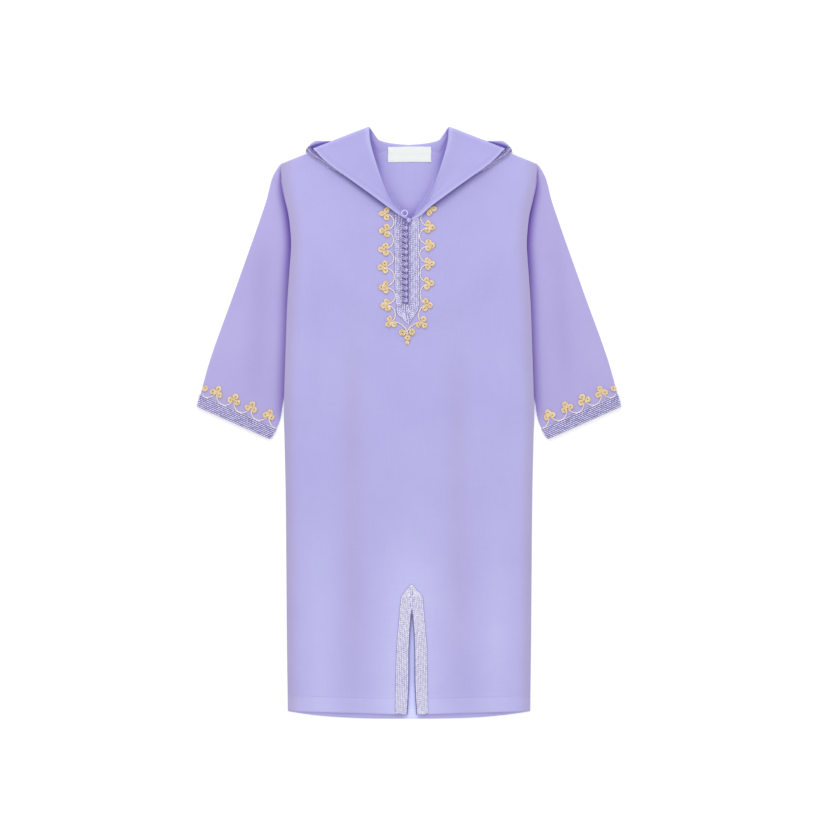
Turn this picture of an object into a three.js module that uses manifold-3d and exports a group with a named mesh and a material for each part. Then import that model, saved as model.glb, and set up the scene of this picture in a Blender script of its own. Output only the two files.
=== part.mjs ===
// A child's hooded caftan of thin lilac cotton, laid out flat, face up, on a level surface.
//
// Frame: millimetres, +Z up off the surface, +Y from the hem towards the hood, +X to the viewer's right when
// the garment is seen from above. The origin is under the middle of the garment, on the surface.
//
// Layers, from the surface up: the hood's hanging bag and the tucked edges of the sleeves, the back panel,
// the front panel, the braids and cords sewn on it, and the two wings of the hood turned out over the shoulders.

import * as THREE from "three";
import { mergeVertices } from "three/addons/utils/BufferGeometryUtils.js";
import Module from "manifold-3d";

const wasm = await Module();
wasm.setup();

// ---------------------------------------------------------------- driving sizes

const CLOTH = 1.2; // wall of the cotton cloth
const SEAM = 0.3; // air between two pieces at a seam
const HALF_LENGTH = 399.5; // from the middle of the garment to the neck points, and to the back hem
const HALF_SPAN = 287; // from the centre line to the outer corner of a cuff
const LEFT = -1;
const RIGHT = 1;

const HOOD_BAG = 3.4; // height of the folded hood behind the back
const SLEEVE = 3.2; // height of a flattened sleeve where the body lies on it
const LIFT = Math.max(HOOD_BAG, SLEEVE) + SEAM; // how far these raise the back panel
const BODY_AIR = 1.9; // most air between the front and back panels
const FLAP_RISE = 3.2; // air under the free edge of the hood's wings
const ROLL_RISE = 1.4; // how much higher the wings are along their roll line

const neckPoint = { x: 54, y: HALF_LENGTH }; // where the hood's fold meets its roll line
const hoodCorner = { x: 130.3, y: 369.8 }; // where the hood's opening edge turns round the shoulder
const shoulderNeck = { x: 54, y: 396 };
const shoulderTip = { x: 173.6, y: 348.3 };

const cuff = {
  outer: { x: 285.6, y: 21.6 },
  inner: { x: 188, y: -22 },
  band: 16.5, // width of the braid round the cuff
};
const underarm = { x: 142, y: 217 };
const tuckTop = 311; // where a sleeve first runs under the body
const tuckEnd = 38; // where it comes out again

const placket = { x: -3.6, slotTop: 268, slotEnd: 160, slotHalf: 0.6 };
const slit = { x: 3.9, top: -252, bottom: -394.2, half: 6.2 };
const BAND = 0.9; // thickness of the woven braid

const button = { rows: 13, pitch: 8.1, top: 261.9, radius: 2.3, height: 3.2 };
const topButton = { x: -0.9, y: 272.4 };
const topLoop = { x: -5.7, y: 281.9, radius: 3.7 };
const loop = { radius: 3.5, cord: 0.6 };
const label = { width: 58, height: 20.6, thick: 0.5, x: 0.9, y: 361.6 };

// The gold embroidery: three coiled rings to a motif, and a cord in scallops from one motif to the next.
const ring = { radius: 3.9, rim: 2.5, high: 1.3, dimple: 0.7, sides: 7 };
const motif = { apex: 4.2, side: 4.7, back: 1.9, hub: 2.6 };
const goldCord = 0.8; // radius
const cuffMotifs = [17.6, 43.3, 68.4, 94.2]; // centres, measured along the cuff from its outer corner
const cuffEdgeRing = { along: 5.2, up: 28 };
const cuffMotifUp = 29.7;
const cuffSag = 11.6;

// Half width of the body at each height: the side seam from the hem to the underarm, then the armhole.
const sideSeam = [
  { y: -400, half: 163.3 },
  { y: -300, half: 164.6 },
  { y: -100, half: 166.3 },
  { y: -20, half: 168.0 },
  { y: 20, half: 168.7 },
  { y: 100, half: 166.4 },
  { y: 160, half: 164.2 },
  { y: 205, half: 161.2 },
  { y: 238, half: 159.0 },
  { y: 260, half: 160.0 },
  { y: 282, half: 162.6 },
  { y: 303, half: 166.9 },
  { y: 325, half: 171.6 },
  { y: shoulderTip.y, half: shoulderTip.x },
];

// Half width of the front neck opening, from the top of the placket to the neck point.
const neckEdge = [
  { y: placket.slotTop, half: placket.slotHalf },
  { y: 274, half: 3.4 },
  { y: 279, half: 7.5 },
  { y: 285, half: 16 },
  { y: 296, half: 24.3 },
  { y: 310, half: 32 },
  { y: 325, half: 38.7 },
  { y: 343, half: 45 },
  { y: 361, half: 51 },
  { y: 380, half: 55.8 },
  { y: HALF_LENGTH, half: 57.5 },
];

// Where the hood folds over the back neck, from the centre to the neck point.
const backNeck = [
  { x: 0, y: 374.6 },
  { x: 22, y: 376.6 },
  { x: 40, y: 381.0 },
  { x: 45.5, y: 387 },
  { x: 50.6, y: 394.4 },
];

// The hood's roll line, from the foot of the V to the neck point.
const rollLine = [
  { x: 11.8, y: 281.8 },
  { x: 26.2, y: 302.3 },
  { x: 36.6, y: 326 },
  { x: 47.4, y: 359.1 },
  { x: 52.7, y: 380 },
  { x: neckPoint.x, y: neckPoint.y },
];

// The hood's opening edge, from the foot of the V to the shoulder.
const hoodEdge = [
  { x: 16.5, y: 279 },
  { x: 25.4, y: 288.5 },
  { x: 52.7, y: 307.9 },
  { x: 80, y: 327.6 },
  { x: 111.4, y: 350.6 },
  { x: hoodCorner.x, y: hoodCorner.y },
];

// The turned-back lip of the hood behind its corner: inside line, outside line, and their heights.
const lip = [
  { inX: 104, inY: 377.4, inZ: 4, outX: 106, outY: 379.6, outZ: 3 },
  { inX: 112, inY: 374.2, inZ: 2.4, outX: 116.5, outY: 379.9, outZ: 4.2 },
  { inX: 120, inY: 371.1, inZ: 2, outX: 126.5, outY: 379.6, outZ: 5.2 },
  { inX: 126, inY: 368.8, inZ: 2, outX: 133, outY: 375.4, outZ: 5.8 },
  { inX: 131, inY: 367, inZ: 2.6, outX: 138, outY: 368.6, outZ: 6 },
  { inX: 135.4, inY: 364.8, inZ: 4, outX: 139.4, outY: 364, outZ: 5.4 },
];

// The braid on the outer face of that edge, which rolls into view: where it leaves the wing, and how wide.
const edgeBraid = [
  { x: 133.8, y: 367.6, wide: 5.6, deep: 1 },
  { x: 131.4, y: 363.4, wide: 5.6, deep: 0.8 },
  { x: 124, y: 358.8, wide: 6.0, deep: 3.0 },
  { x: 114, y: 352.6, wide: 5.8, deep: 3.2 },
  { x: 102, y: 343.8, wide: 4.2, deep: 2.6 },
  { x: 86, y: 332.2, wide: 1.6, deep: 2.4 },
];

// The hidden outline of the hood's bag behind the back, from the shoulder to its tip.
const bagEdge = [
  { x: 130, y: 362 },
  { x: 126, y: 322 },
  { x: 110, y: 272 },
  { x: 80, y: 218 },
  { x: 42, y: 177 },
  { x: 0, y: 160 },
];

// The two long edges of a sleeve, each from the armhole to the cuff.
const sleeveOuter = [
  { x: 174.6, y: 347.6 },
  { x: 180.6, y: 338.2 },
  { x: 185.4, y: 327.4 },
  { x: 192.2, y: 300.4 },
  { x: 201.2, y: 273.4 },
  { x: 210.6, y: 246.4 },
  { x: 239.4, y: 165.4 },
  { x: 268.4, y: 84.4 },
  { x: cuff.outer.x, y: cuff.outer.y },
];
const sleeveInner = [
  { x: underarm.x, y: underarm.y },
  { x: 142.5, y: 170 },
  { x: 148, y: 120 },
  { x: 158, y: 75 },
  { x: 169.4, y: 32 },
  { x: 174.2, y: 3.4 },
  { x: 180.6, y: -10.1 },
  { x: cuff.inner.x, y: cuff.inner.y },
];

// The placket's pointed braid: its two outer edges at each height.
const placketBraid = [
  { y: 281, left: -20, right: 13.8 },
  { y: 276, left: -20.1, right: 13.9 },
  { y: placket.slotTop, left: -20.1, right: 14 },
  { y: 245, left: -20, right: 14 },
  { y: 215, left: -19.4, right: 14 },
  { y: 185, left: -18.6, right: 13.8 },
  { y: placket.slotEnd, left: -17.2, right: 13.4 },
  { y: 150, left: -16.7, right: 12.6 },
  { y: 143, left: -15.9, right: 8 },
  { y: 131.6, left: -0.7, right: -0.7 },
];

// The braid round the slit: its two outer edges at each height.
const slitBraid = [
  { y: -217.2, left: 2.9, right: 2.9 },
  { y: -235, left: -10.4, right: 18.4 },
  { y: slit.top, left: -12.2, right: 19.8 },
  { y: -302, left: -16.6, right: 24 },
  { y: -350, left: -18, right: 24.8 },
  { y: slit.bottom, left: -18.6, right: 25.5 },
];

// Neck motifs, down one side, across the foot and up the other: where the motif points (degrees), and how
// far the cord that follows it swings towards the placket.
const neckMotifs = [
  { x: -32.0, y: 281.4, points: 180, sag: 10.4 },
  { x: -31.9, y: 258.5, points: 180, sag: 10.4 },
  { x: -33.2, y: 233.3, points: 180, sag: 11.6 },
  { x: -34.2, y: 209.4, points: 180, sag: 12.4 },
  { x: -33.1, y: 182.3, points: 180, sag: 12.2 },
  { x: -30.8, y: 158.1, points: 190, sag: 8.2 },
  { x: -24.6, y: 134.9, points: 225, sag: 5.2 },
  { x: -2.4, y: 119.4, points: 270, sag: 4.4 },
  { x: 17.6, y: 134.3, points: 315, sag: 6.6 },
  { x: 23.8, y: 158.6, points: 350, sag: 8.6 },
  { x: 25.9, y: 187.5, points: 0, sag: 10.2 },
  { x: 27.0, y: 214.2, points: 0, sag: 11.4 },
  { x: 27.7, y: 238.8, points: 0, sag: 11.8 },
  { x: 27.3, y: 263.4, points: 0, sag: 11.0 },
  { x: 29.0, y: 287.4, points: 10, sag: 0 },
];

// The motif at the foot of the placket is its own: two large rings, and two that grow smaller below them.
const footMotif = 7;
const footRings = [
  { x: -9.0, y: 121.9, size: 1.16 },
  { x: 3.8, y: 121.9, size: 1.12 },
  { x: -1.6, y: 114.2, size: 1.04 },
  { x: -2.2, y: 108.0, size: 0.7 },
];
const footHub = { x: -2.4, y: 119.8, radius: 3.8 };

// ---------------------------------------------------------------- small tools

const lerp = THREE.MathUtils.lerp;
const vec = (x, y, z) => new THREE.Vector3(x, y, z);

// 0 at a, 1 at b, with a soft start and end. It works in either direction.
const ease = (a, b, x) => {
  const t = THREE.MathUtils.clamp((x - a) / (b - a), 0, 1);
  return t * t * (3 - 2 * t);
};

// A smooth curve through a table's rows: value(key) by cubic pieces with the slopes of their neighbours.
function through(table, key, value) {
  const slope = (i) => {
    const a = table[Math.max(i - 1, 0)];
    const b = table[Math.min(i + 1, table.length - 1)];
    return (b[value] - a[value]) / (b[key] - a[key]);
  };
  return (k) => {
    let i = 0;
    while (i < table.length - 2 && (table[i + 1][key] - k) * (table[1][key] - table[0][key]) < 0) i++;
    const step = table[i + 1][key] - table[i][key];
    const t = THREE.MathUtils.clamp((k - table[i][key]) / step, 0, 1);
    const h = [2 * t ** 3 - 3 * t ** 2 + 1, t ** 3 - 2 * t ** 2 + t, 3 * t ** 2 - 2 * t ** 3, t ** 3 - t ** 2];
    return (
      h[0] * table[i][value] + h[1] * step * slope(i) + h[2] * table[i + 1][value] + h[3] * step * slope(i + 1)
    );
  };
}

// A point at share u (0 to 1) of a smooth curve through a table of x and y.
function along(table) {
  const curve = new THREE.CatmullRomCurve3(table.map((p) => vec(p.x, p.y, 0)), false, "centripetal");
  return (u) => curve.getPointAt(THREE.MathUtils.clamp(u, 0, 1));
}

// Turns a list of points and triangles into geometry whose faces point outwards.
function solidFrom(points, triangles) {
  const geometry = new THREE.BufferGeometry();
  geometry.setAttribute("position", new THREE.Float32BufferAttribute(points.flatMap((p) => [p.x, p.y, p.z]), 3));
  const volume = triangles.reduce(
    (sum, [a, b, c]) => sum + points[a].dot(points[b].clone().cross(points[c])), 0);
  geometry.setIndex((volume < 0 ? triangles.map(([a, b, c]) => [a, c, b]) : triangles).flat());
  geometry.computeVertexNormals();
  return geometry;
}

// A wall between two grids of points, outer[i][j] and inner[i][j]. ring says that j runs round a tube.
function wall(outer, inner, ring = false) {
  const rows = outer.length;
  const columns = outer[0].length;
  const points = [...outer.flat(), ...inner.flat()];
  const at = (layer, i, j) => layer * rows * columns + i * columns + (j % columns);
  const triangles = [];
  const quad = (a, b, c, d) => triangles.push([a, b, c], [a, c, d]);
  const lastJ = ring ? columns : columns - 1;
  for (let i = 0; i < rows - 1; i++)
    for (let j = 0; j < lastJ; j++) {
      quad(at(0, i, j), at(0, i + 1, j), at(0, i + 1, j + 1), at(0, i, j + 1));
      quad(at(1, i, j), at(1, i, j + 1), at(1, i + 1, j + 1), at(1, i + 1, j));
    }
  for (let j = 0; j < lastJ; j++) {
    quad(at(0, 0, j), at(0, 0, j + 1), at(1, 0, j + 1), at(1, 0, j));
    quad(at(0, rows - 1, j), at(1, rows - 1, j), at(1, rows - 1, j + 1), at(0, rows - 1, j + 1));
  }
  if (!ring)
    for (let i = 0; i < rows - 1; i++) {
      quad(at(0, i, 0), at(1, i, 0), at(1, i + 1, 0), at(0, i + 1, 0));
      quad(at(0, i, columns - 1), at(0, i + 1, columns - 1), at(1, i + 1, columns - 1), at(1, i, columns - 1));
    }
  return solidFrom(points, triangles);
}

// A flat net of points seen from above, made of patches that share the points they have in common.
class Net {
  points = [];
  triangles = [];
  seen = new Map();

  point(x, y) {
    const key = `${x.toFixed(3)},${y.toFixed(3)}`;
    if (!this.seen.has(key)) {
      this.seen.set(key, this.points.length);
      this.points.push({ x, y });
    }
    return this.seen.get(key);
  }

  // Adds a grid of {x, y}; rows[i][j]. Each triangle is turned to run anticlockwise.
  patch(rows) {
    const index = rows.map((row) => row.map((p) => this.point(p.x, p.y)));
    for (let i = 0; i < rows.length - 1; i++)
      for (let j = 0; j < rows[i].length - 1; j++) {
        this.triangle(index[i][j], index[i][j + 1], index[i + 1][j + 1]);
        this.triangle(index[i][j], index[i + 1][j + 1], index[i + 1][j]);
      }
  }

  triangle(a, b, c) {
    if (a === b || b === c || a === c) return;
    const [p, q, r] = [a, b, c].map((i) => this.points[i]);
    const area = (q.x - p.x) * (r.y - p.y) - (r.x - p.x) * (q.y - p.y);
    this.triangles.push(area > 0 ? [a, b, c] : [a, c, b]);
  }

  // The height of the net's own flat faces at a place, where top gives the height of its points.
  heightAt(x, y, top) {
    let best = { miss: Infinity, z: 0 };
    for (const [a, b, c] of this.triangles) {
      const [p, q, r] = [a, b, c].map((i) => this.points[i]);
      const area = (q.x - p.x) * (r.y - p.y) - (r.x - p.x) * (q.y - p.y);
      const v = ((x - p.x) * (r.y - p.y) - (r.x - p.x) * (y - p.y)) / area;
      const w = ((q.x - p.x) * (y - p.y) - (x - p.x) * (q.y - p.y)) / area;
      const miss = Math.max(0, -v, -w, v + w - 1);
      if (miss < best.miss)
        best = { miss, z: top(p.x, p.y) * (1 - v - w) + top(q.x, q.y) * v + top(r.x, r.y) * w };
      if (miss === 0) break;
    }
    return best.z;
  }

  // A sheet on this net, between two heights, closed along every free edge.
  sheet(bottom, top) {
    const count = this.points.length;
    const points = [
      ...this.points.map((p) => vec(p.x, p.y, top(p.x, p.y))),
      ...this.points.map((p) => vec(p.x, p.y, bottom(p.x, p.y))),
    ];
    const edges = new Set(this.triangles.flatMap(([a, b, c]) => [`${a},${b}`, `${b},${c}`, `${c},${a}`]));
    const triangles = this.triangles.flatMap(([a, b, c]) => [[a, b, c], [a + count, c + count, b + count]]);
    for (const edge of edges) {
      const [a, b] = edge.split(",").map(Number);
      if (!edges.has(`${b},${a}`)) triangles.push([a, a + count, b + count], [a, b + count, b]);
    }
    return solidFrom(points, triangles);
  }
}

// Joins closed geometries into one.
function joined(geometries) {
  const toSolid = (geometry) => {
    const bare = geometry.clone().deleteAttribute("normal").deleteAttribute("uv");
    const merged = mergeVertices(bare, 1e-3);
    return new wasm.Manifold(
      new wasm.Mesh({
        numProp: 3,
        vertProperties: merged.attributes.position.array,
        triVerts: new Uint32Array(merged.index.array),
      }),
    );
  };
  const mesh = geometries.map(toSolid).reduce((sum, next) => sum.add(next)).getMesh();
  const made = new THREE.BufferGeometry();
  made.setAttribute("position", new THREE.BufferAttribute(mesh.vertProperties, 3));
  made.setIndex(new THREE.BufferAttribute(mesh.triVerts, 1));
  made.computeVertexNormals();
  return made;
}

// A cord along a list of points.
function cordAlong(points, radius, sides, steps) {
  const section = new THREE.Shape(
    Array.from({ length: sides }, (_, i) => {
      const angle = (2 * Math.PI * (i + 0.5)) / sides;
      return new THREE.Vector2(radius * Math.cos(angle), radius * Math.sin(angle));
    }),
  );
  const path = new THREE.CatmullRomCurve3(points, false, "centripetal");
  return new THREE.ExtrudeGeometry(section, { steps, bevelEnabled: false, extrudePath: path });
}

// ---------------------------------------------------------------- materials

const finish = (color, roughness, metalness = 0) => new THREE.MeshStandardMaterial({ color, roughness, metalness });
const cotton = finish(0xb9b2e6, 0.85);
const braid = finish(0xc9c7e6, 0.45, 0.2);
const gold = finish(0xe8c77a, 0.4, 0.4);
const knot = finish(0x8f86bd, 0.6);
const satin = finish(0xf2f2ee, 0.6);

const caftan = new THREE.Group();
caftan.name = "caftan";

function add(name, geometry, material) {
  const mesh = new THREE.Mesh(geometry, material);
  mesh.name = name;
  caftan.add(mesh);
  return mesh;
}

// ---------------------------------------------------------------- heights of the layers

const sideHalf = through(sideSeam, "y", "half");
const neckHalf = through(neckEdge, "y", "half");
const SHOULDER_SLOPE = (shoulderNeck.y - shoulderTip.y) / (shoulderTip.x - shoulderNeck.x);
const shoulderY = (x) => shoulderNeck.y - SHOULDER_SLOPE * (Math.abs(x) - shoulderNeck.x);

// 1 over the hood's bag and over the tucked sleeves, easing to 0 away from them.
function raised(x, y) {
  const wide = Math.abs(x);
  const reach = Math.hypot(wide / 140, Math.max(0, 340 - y) / 180);
  const overBag = ease(1.28, 1.0, reach);
  const overSleeve = ease(112, 137, wide) * ease(-20, tuckEnd, y);
  return 1 - (1 - overBag) * (1 - overSleeve);
}

const backBottom = (x, y) => LIFT * raised(x, y);
const backTop = (x, y) => backBottom(x, y) + CLOTH;

// Two soft troughs run down the front from the chest to the hem.
const softFolds = [
  { x: -72, depth: 0.8, width: 15 },
  { x: 69, depth: 0.7, width: 14 },
];

function airInside(x, y) {
  const across = 1 - (Math.abs(x) / sideHalf(y)) ** 6;
  const nearHem = 0.4 + 0.6 * ease(-HALF_LENGTH, -330, y);
  const nearShoulder = ease(0, 45, shoulderY(x) - y);
  const troughs = softFolds.reduce(
    (sum, fold) => sum + fold.depth * Math.exp(-(((x - fold.x) / fold.width) ** 2)) * ease(150, 40, y), 0);
  return SEAM + Math.max(0, BODY_AIR * across * nearHem * nearShoulder - troughs * across);
}

const frontBottom = (x, y) => backTop(x, y) + airInside(x, y);
const frontTop = (x, y) => frontBottom(x, y) + CLOTH;

// How far the shoulder seams lie inside the line of the shoulder: further under the hood's fold.
const seamInset = (x) => lerp(1.7, 0.1, ease(128, 143, Math.abs(x)));

// ---------------------------------------------------------------- back panel

const across = [0, 0.12, 0.24, 0.34, 0.46, 0.6, 0.75, 0.87, 0.95, 1];
const NECK_INSET = 2.6; // the back neck seam lies this far below the fold of the hood

// The upper edge of the back, from the centre to the tip of the shoulder, at a share of the way across.
const backFold = along(backNeck);
function backUpperEdge(share) {
  const neckShare = 0.34;
  if (share <= neckShare) {
    const p = backFold(share / neckShare);
    return { x: p.x, y: p.y - lerp(NECK_INSET, 5.2, ease(0.1, 0.8, share / neckShare)) };
  }
  const t = (share - neckShare) / (1 - neckShare);
  const x = lerp(shoulderNeck.x, shoulderTip.x - 0.3, t);
  return { x, y: shoulderY(x) - seamInset(x) };
}

function backPanel() {
  const net = new Net();
  const lower = [-HALF_LENGTH, -380, -300, -200, -100, -35, -10, 15, 40, 80, 120, 150, 180, 210];
  const yoke = 240; // above this height the rows bend up to the neck and shoulders
  const upperRows = 6;
  const hem = (share) => lerp(-HALF_LENGTH, -389.5, share ** 3);
  for (const side of [LEFT, RIGHT]) {
    const rows = lower.map((y) =>
      across.map((share) => {
        const low = y === -HALF_LENGTH ? hem(share) : y;
        return { x: side * share * sideHalf(low), y: low };
      }),
    );
    for (let i = 0; i <= upperRows; i++) {
      const t = i / upperRows;
      rows.push(
        across.map((share) => {
          const top = backUpperEdge(share);
          const y = lerp(yoke, top.y, t);
          const straight = share * sideHalf(lerp(yoke, shoulderTip.y, t));
          return { x: side * lerp(straight, top.x, t ** 3), y };
        }),
      );
    }
    net.patch(rows);
  }
  return net;
}

add("back_panel", backPanel().sheet(backBottom, backTop), cotton);

// ---------------------------------------------------------------- front panel

// Rows of the front, from the hem up: heights at the centre and at the side.
const frontRows = [
  { centre: slit.bottom, side: -389.5 },
  { centre: -378, side: -374 },
  { centre: -330, side: -326 },
  { centre: -290, side: -285 },
  { centre: slit.top, side: -248 },
  { centre: -180, side: -176 },
  { centre: -100, side: -96 },
  { centre: -40, side: -36 },
  { centre: -5, side: -12 },
  { centre: 20, side: 13 },
  { centre: 50, side: 40 },
  { centre: 85, side: 75 },
  { centre: 120, side: 110 },
  { centre: placket.slotEnd, side: 150 },
  { centre: 195, side: 182 },
  { centre: 235, side: 212 },
  { centre: placket.slotTop, side: 238 },
  { centre: 274, side: 251 },
  { centre: 279, side: 264 },
  { centre: 285, side: 276 },
  { centre: 296, side: 287 },
  { centre: 310, side: 298 },
  { centre: 325, side: 308 },
  { centre: 343, side: 318 },
  { centre: 361, side: 328 },
  { centre: 379, side: 338 },
  { centre: shoulderNeck.y - 2.2, side: shoulderTip.y - 0.1 },
];

// The middle of the openings: the placket closes a little to one side of the centre, and so does the slit.
function middleX(y) {
  if (y < 0) return slit.x * ease(0, -200, y);
  return placket.x * ease(0, 130, y) * ease(288, placket.slotTop, y);
}

function openingHalf(y) {
  if (y < slit.top) return slit.half * ((slit.top - y) / (slit.top - slit.bottom)) ** 0.75;
  if (y > placket.slotEnd && y <= placket.slotTop) return placket.slotHalf;
  return y > placket.slotTop ? neckHalf(y) : 0;
}

function frontPanel() {
  const net = new Net();
  for (const side of [LEFT, RIGHT])
    net.patch(
      frontRows.map((row, i) =>
        across.map((share) => {
          const inner = middleX(row.centre) + side * openingHalf(row.centre);
          const outer = side * (sideHalf(row.side) - (row.side > tuckTop ? 0.3 : 0));
          const x = lerp(inner, outer, share);
          const topRow = i === frontRows.length - 1;
          return { x, y: topRow ? shoulderY(x) - seamInset(x) : lerp(row.centre, row.side, share) };
        }),
      ),
    );
  return net;
}

const front = add("front_panel", frontPanel().sheet(frontBottom, frontTop), cotton);

// ---------------------------------------------------------------- sleeves

const outerEdge = along(sleeveOuter);
const innerEdge = along(sleeveInner);
const OUTER_LENGTH = Math.hypot(sleeveOuter[0].x - cuff.outer.x, sleeveOuter[0].y - cuff.outer.y);
const INNER_LENGTH = Math.hypot(underarm.x - cuff.inner.x, underarm.y - cuff.inner.y);
const sleeveRows = [OUTER_LENGTH, 328, 310, 285, 250, 205, 155, 105, 65, 36, 26, cuff.band, 8, 0];
const sleeveShares = [0.02, 0.11, 0.24, 0.38, 0.54, 0.7, 0.85, 0.98];

// A point of the flattened sleeve seen from above: its distance from the cuff, and v from the outer fold.
function sleevePlan(distance, v) {
  const innerDistance =
    distance < 30 ? distance : lerp(30, INNER_LENGTH, (distance - 30) / (OUTER_LENGTH - 30));
  const outer = outerEdge(1 - distance / OUTER_LENGTH);
  const inner = innerEdge(1 - innerDistance / INNER_LENGTH);
  const plan = { x: lerp(outer.x, inner.x, v), y: lerp(outer.y, inner.y, v) };
  // Beside the body's edge as far down as tuckTop, then under it.
  const beside = sideHalf(Math.min(plan.y, shoulderTip.y)) + 1.2;
  const tuck = ease(tuckTop - 4, tuckTop - 40, plan.y);
  return { x: lerp(Math.max(beside, plan.x), plan.x, tuck), y: plan.y };
}

// The sleeve lies flat on its lower face, and is lifted at the cuff by the braid that goes round it.
const sleeveBottom = (distance) => (BAND + SEAM) * ease(34, cuff.band + 8, distance);

function sleeveTop(distance, v) {
  const start = OUTER_LENGTH - distance;
  const crest = lerp(0.62, 0.98, ease(150, 40, distance));
  const q = Math.min(1, v / crest);
  // Flat near the body's edge, which lies close over it.
  const plan = sleevePlan(distance, v);
  const clear = plan.x - sideHalf(Math.min(plan.y, shoulderTip.y));
  const dome = 1.5 * 4 * q * (1 - q) * ease(0, 30, start) * ease(0, 60, distance) * ease(14, 26, clear);
  const shoulder = 2.9 * ease(42, 4, start) * ease(tuckTop + 6, tuckTop + 24, plan.y);
  return SLEEVE + dome + shoulder + 0.8 * ease(60, 20, distance);
}

// Rings round the sleeve: grow is how far the ring lies outside the cloth's own outer face.
function sleeveRings(distances, grow) {
  return distances.map((distance) => {
    const place = (v, z, out = 0) => {
      const p = sleevePlan(distance, v);
      const a = sleevePlan(distance, 0);
      const b = sleevePlan(distance, 1);
      const width = Math.hypot(a.x - b.x, a.y - b.y);
      return vec(p.x + ((a.x - b.x) * out) / width, p.y + ((a.y - b.y) * out) / width, z);
    };
    const low = sleeveBottom(distance);
    const upper = sleeveShares.map((v) => place(v, sleeveTop(distance, v) + grow));
    const lower = sleeveShares.map((v) => place(v, low - grow)).reverse();
    const middle = (low + SLEEVE) / 2;
    return [place(0, middle, grow), ...upper, place(1, middle, -grow), ...lower];
  });
}

const mirrored = (rings, side) => rings.map((row) => row.map((p) => vec(side * p.x, p.y, p.z)));

function sleeve(side) {
  return wall(mirrored(sleeveRings(sleeveRows, 0), side), mirrored(sleeveRings(sleeveRows, -CLOTH), side), true);
}

function cuffBraid(side) {
  const rows = [cuff.band, 8, 0];
  return wall(
    mirrored(sleeveRings(rows, SEAM + BAND), side), mirrored(sleeveRings(rows, SEAM), side), true);
}

const sleeves = {
  [LEFT]: add("sleeve_left", sleeve(LEFT), cotton),
  [RIGHT]: add("sleeve_right", sleeve(RIGHT), cotton),
};
add("cuff_braid_left", cuffBraid(LEFT), braid);
add("cuff_braid_right", cuffBraid(RIGHT), braid);

// ---------------------------------------------------------------- hood

const roll = along(rollLine);
const opening = along(hoodEdge);

// The height of a wing's cloth over the front: highest along its free edge, full along the roll line.
function wing(side) {
  const net = new Net();
  const heights = new Map();
  const shares = [0, 0.05, 0.14, 0.3, 0.48, 0.66, 0.82, 0.94, 1];
  const steps = [0, 0.08, 0.2, 0.33, 0.46, 0.58, 0.7, 0.81, 0.91];
  // Rows past the last step: how far below the fold, how high, and whether they reach the surface.
  const foldRows = [
    { below: 4.9, height: 1, grounded: false },
    { below: 4.4, height: 1, grounded: true },
    { below: 2.2, height: 0.94, grounded: true },
    { below: 0.7, height: 0.76, grounded: true },
    { below: 0, height: 0.42, grounded: true },
  ];
  const keep = (p, top, bottom) => {
    heights.set(`${p.x.toFixed(3)},${p.y.toFixed(3)}`, { top, bottom });
    return p;
  };
  const over = (x, y, share, t) => {
    const rise = FLAP_RISE * ease(0.3, 1, share) + ROLL_RISE * (1 - share) ** 4 + 1.9 * ease(0.4, 0, t);
    return frontTop(x, Math.min(y, shoulderY(x))) + SEAM + rise;
  };
  const rows = steps.map((t) =>
    shares.map((share) => {
      const a = roll(t * 0.985);
      const b = opening(t * 0.985);
      const x = lerp(a.x, b.x, share);
      const y = lerp(a.y, b.y, share);
      const bottom = over(x, y, share, t);
      const full = CLOTH + 1.4 * ease(0.1, 0, share);
      return keep({ x: side * x, y }, bottom + full, bottom);
    }),
  );
  for (const row of foldRows)
    rows.push(
      shares.map((share) => {
        const x = lerp(neckPoint.x, hoodCorner.x - 0.4 * row.below, share);
        const line = lerp(neckPoint.y, hoodCorner.y, (x - neckPoint.x) / (hoodCorner.x - neckPoint.x));
        const y = line - row.below;
        const bottom = over(x, y, share, 1);
        const top = (bottom + CLOTH + 1.4 * ease(0.1, 0, share)) * row.height;
        return keep({ x: side * x, y }, top, row.grounded ? 0 : bottom);
      }),
    );
  net.patch(rows);
  const at = (x, y) => heights.get(`${x.toFixed(3)},${y.toFixed(3)}`);
  return net.sheet((x, y) => at(x, y).bottom, (x, y) => at(x, y).top);
}

// The lip of the hood that turns back behind its corner: a trough between the fold and the rolled edge.
function lipSolid(side) {
  const net = new Net();
  const heights = new Map();
  const rows = lip.map((row) =>
    [0, 0.35, 0.75, 1].map((share) => {
      const x = side * lerp(row.inX, row.outX, share);
      const y = lerp(row.inY, row.outY, share);
      const top = share === 1 ? row.outZ * 0.5 : lerp(row.inZ, row.outZ, share / 0.75);
      heights.set(`${x.toFixed(3)},${y.toFixed(3)}`, top);
      return { x, y };
    }),
  );
  net.patch(rows);
  return net.sheet(() => 0, (x, y) => heights.get(`${x.toFixed(3)},${y.toFixed(3)}`));
}

add("hood_left", joined([wing(LEFT), lipSolid(LEFT)]), cotton);
add("hood_right", joined([wing(RIGHT), lipSolid(RIGHT)]), cotton);

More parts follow.
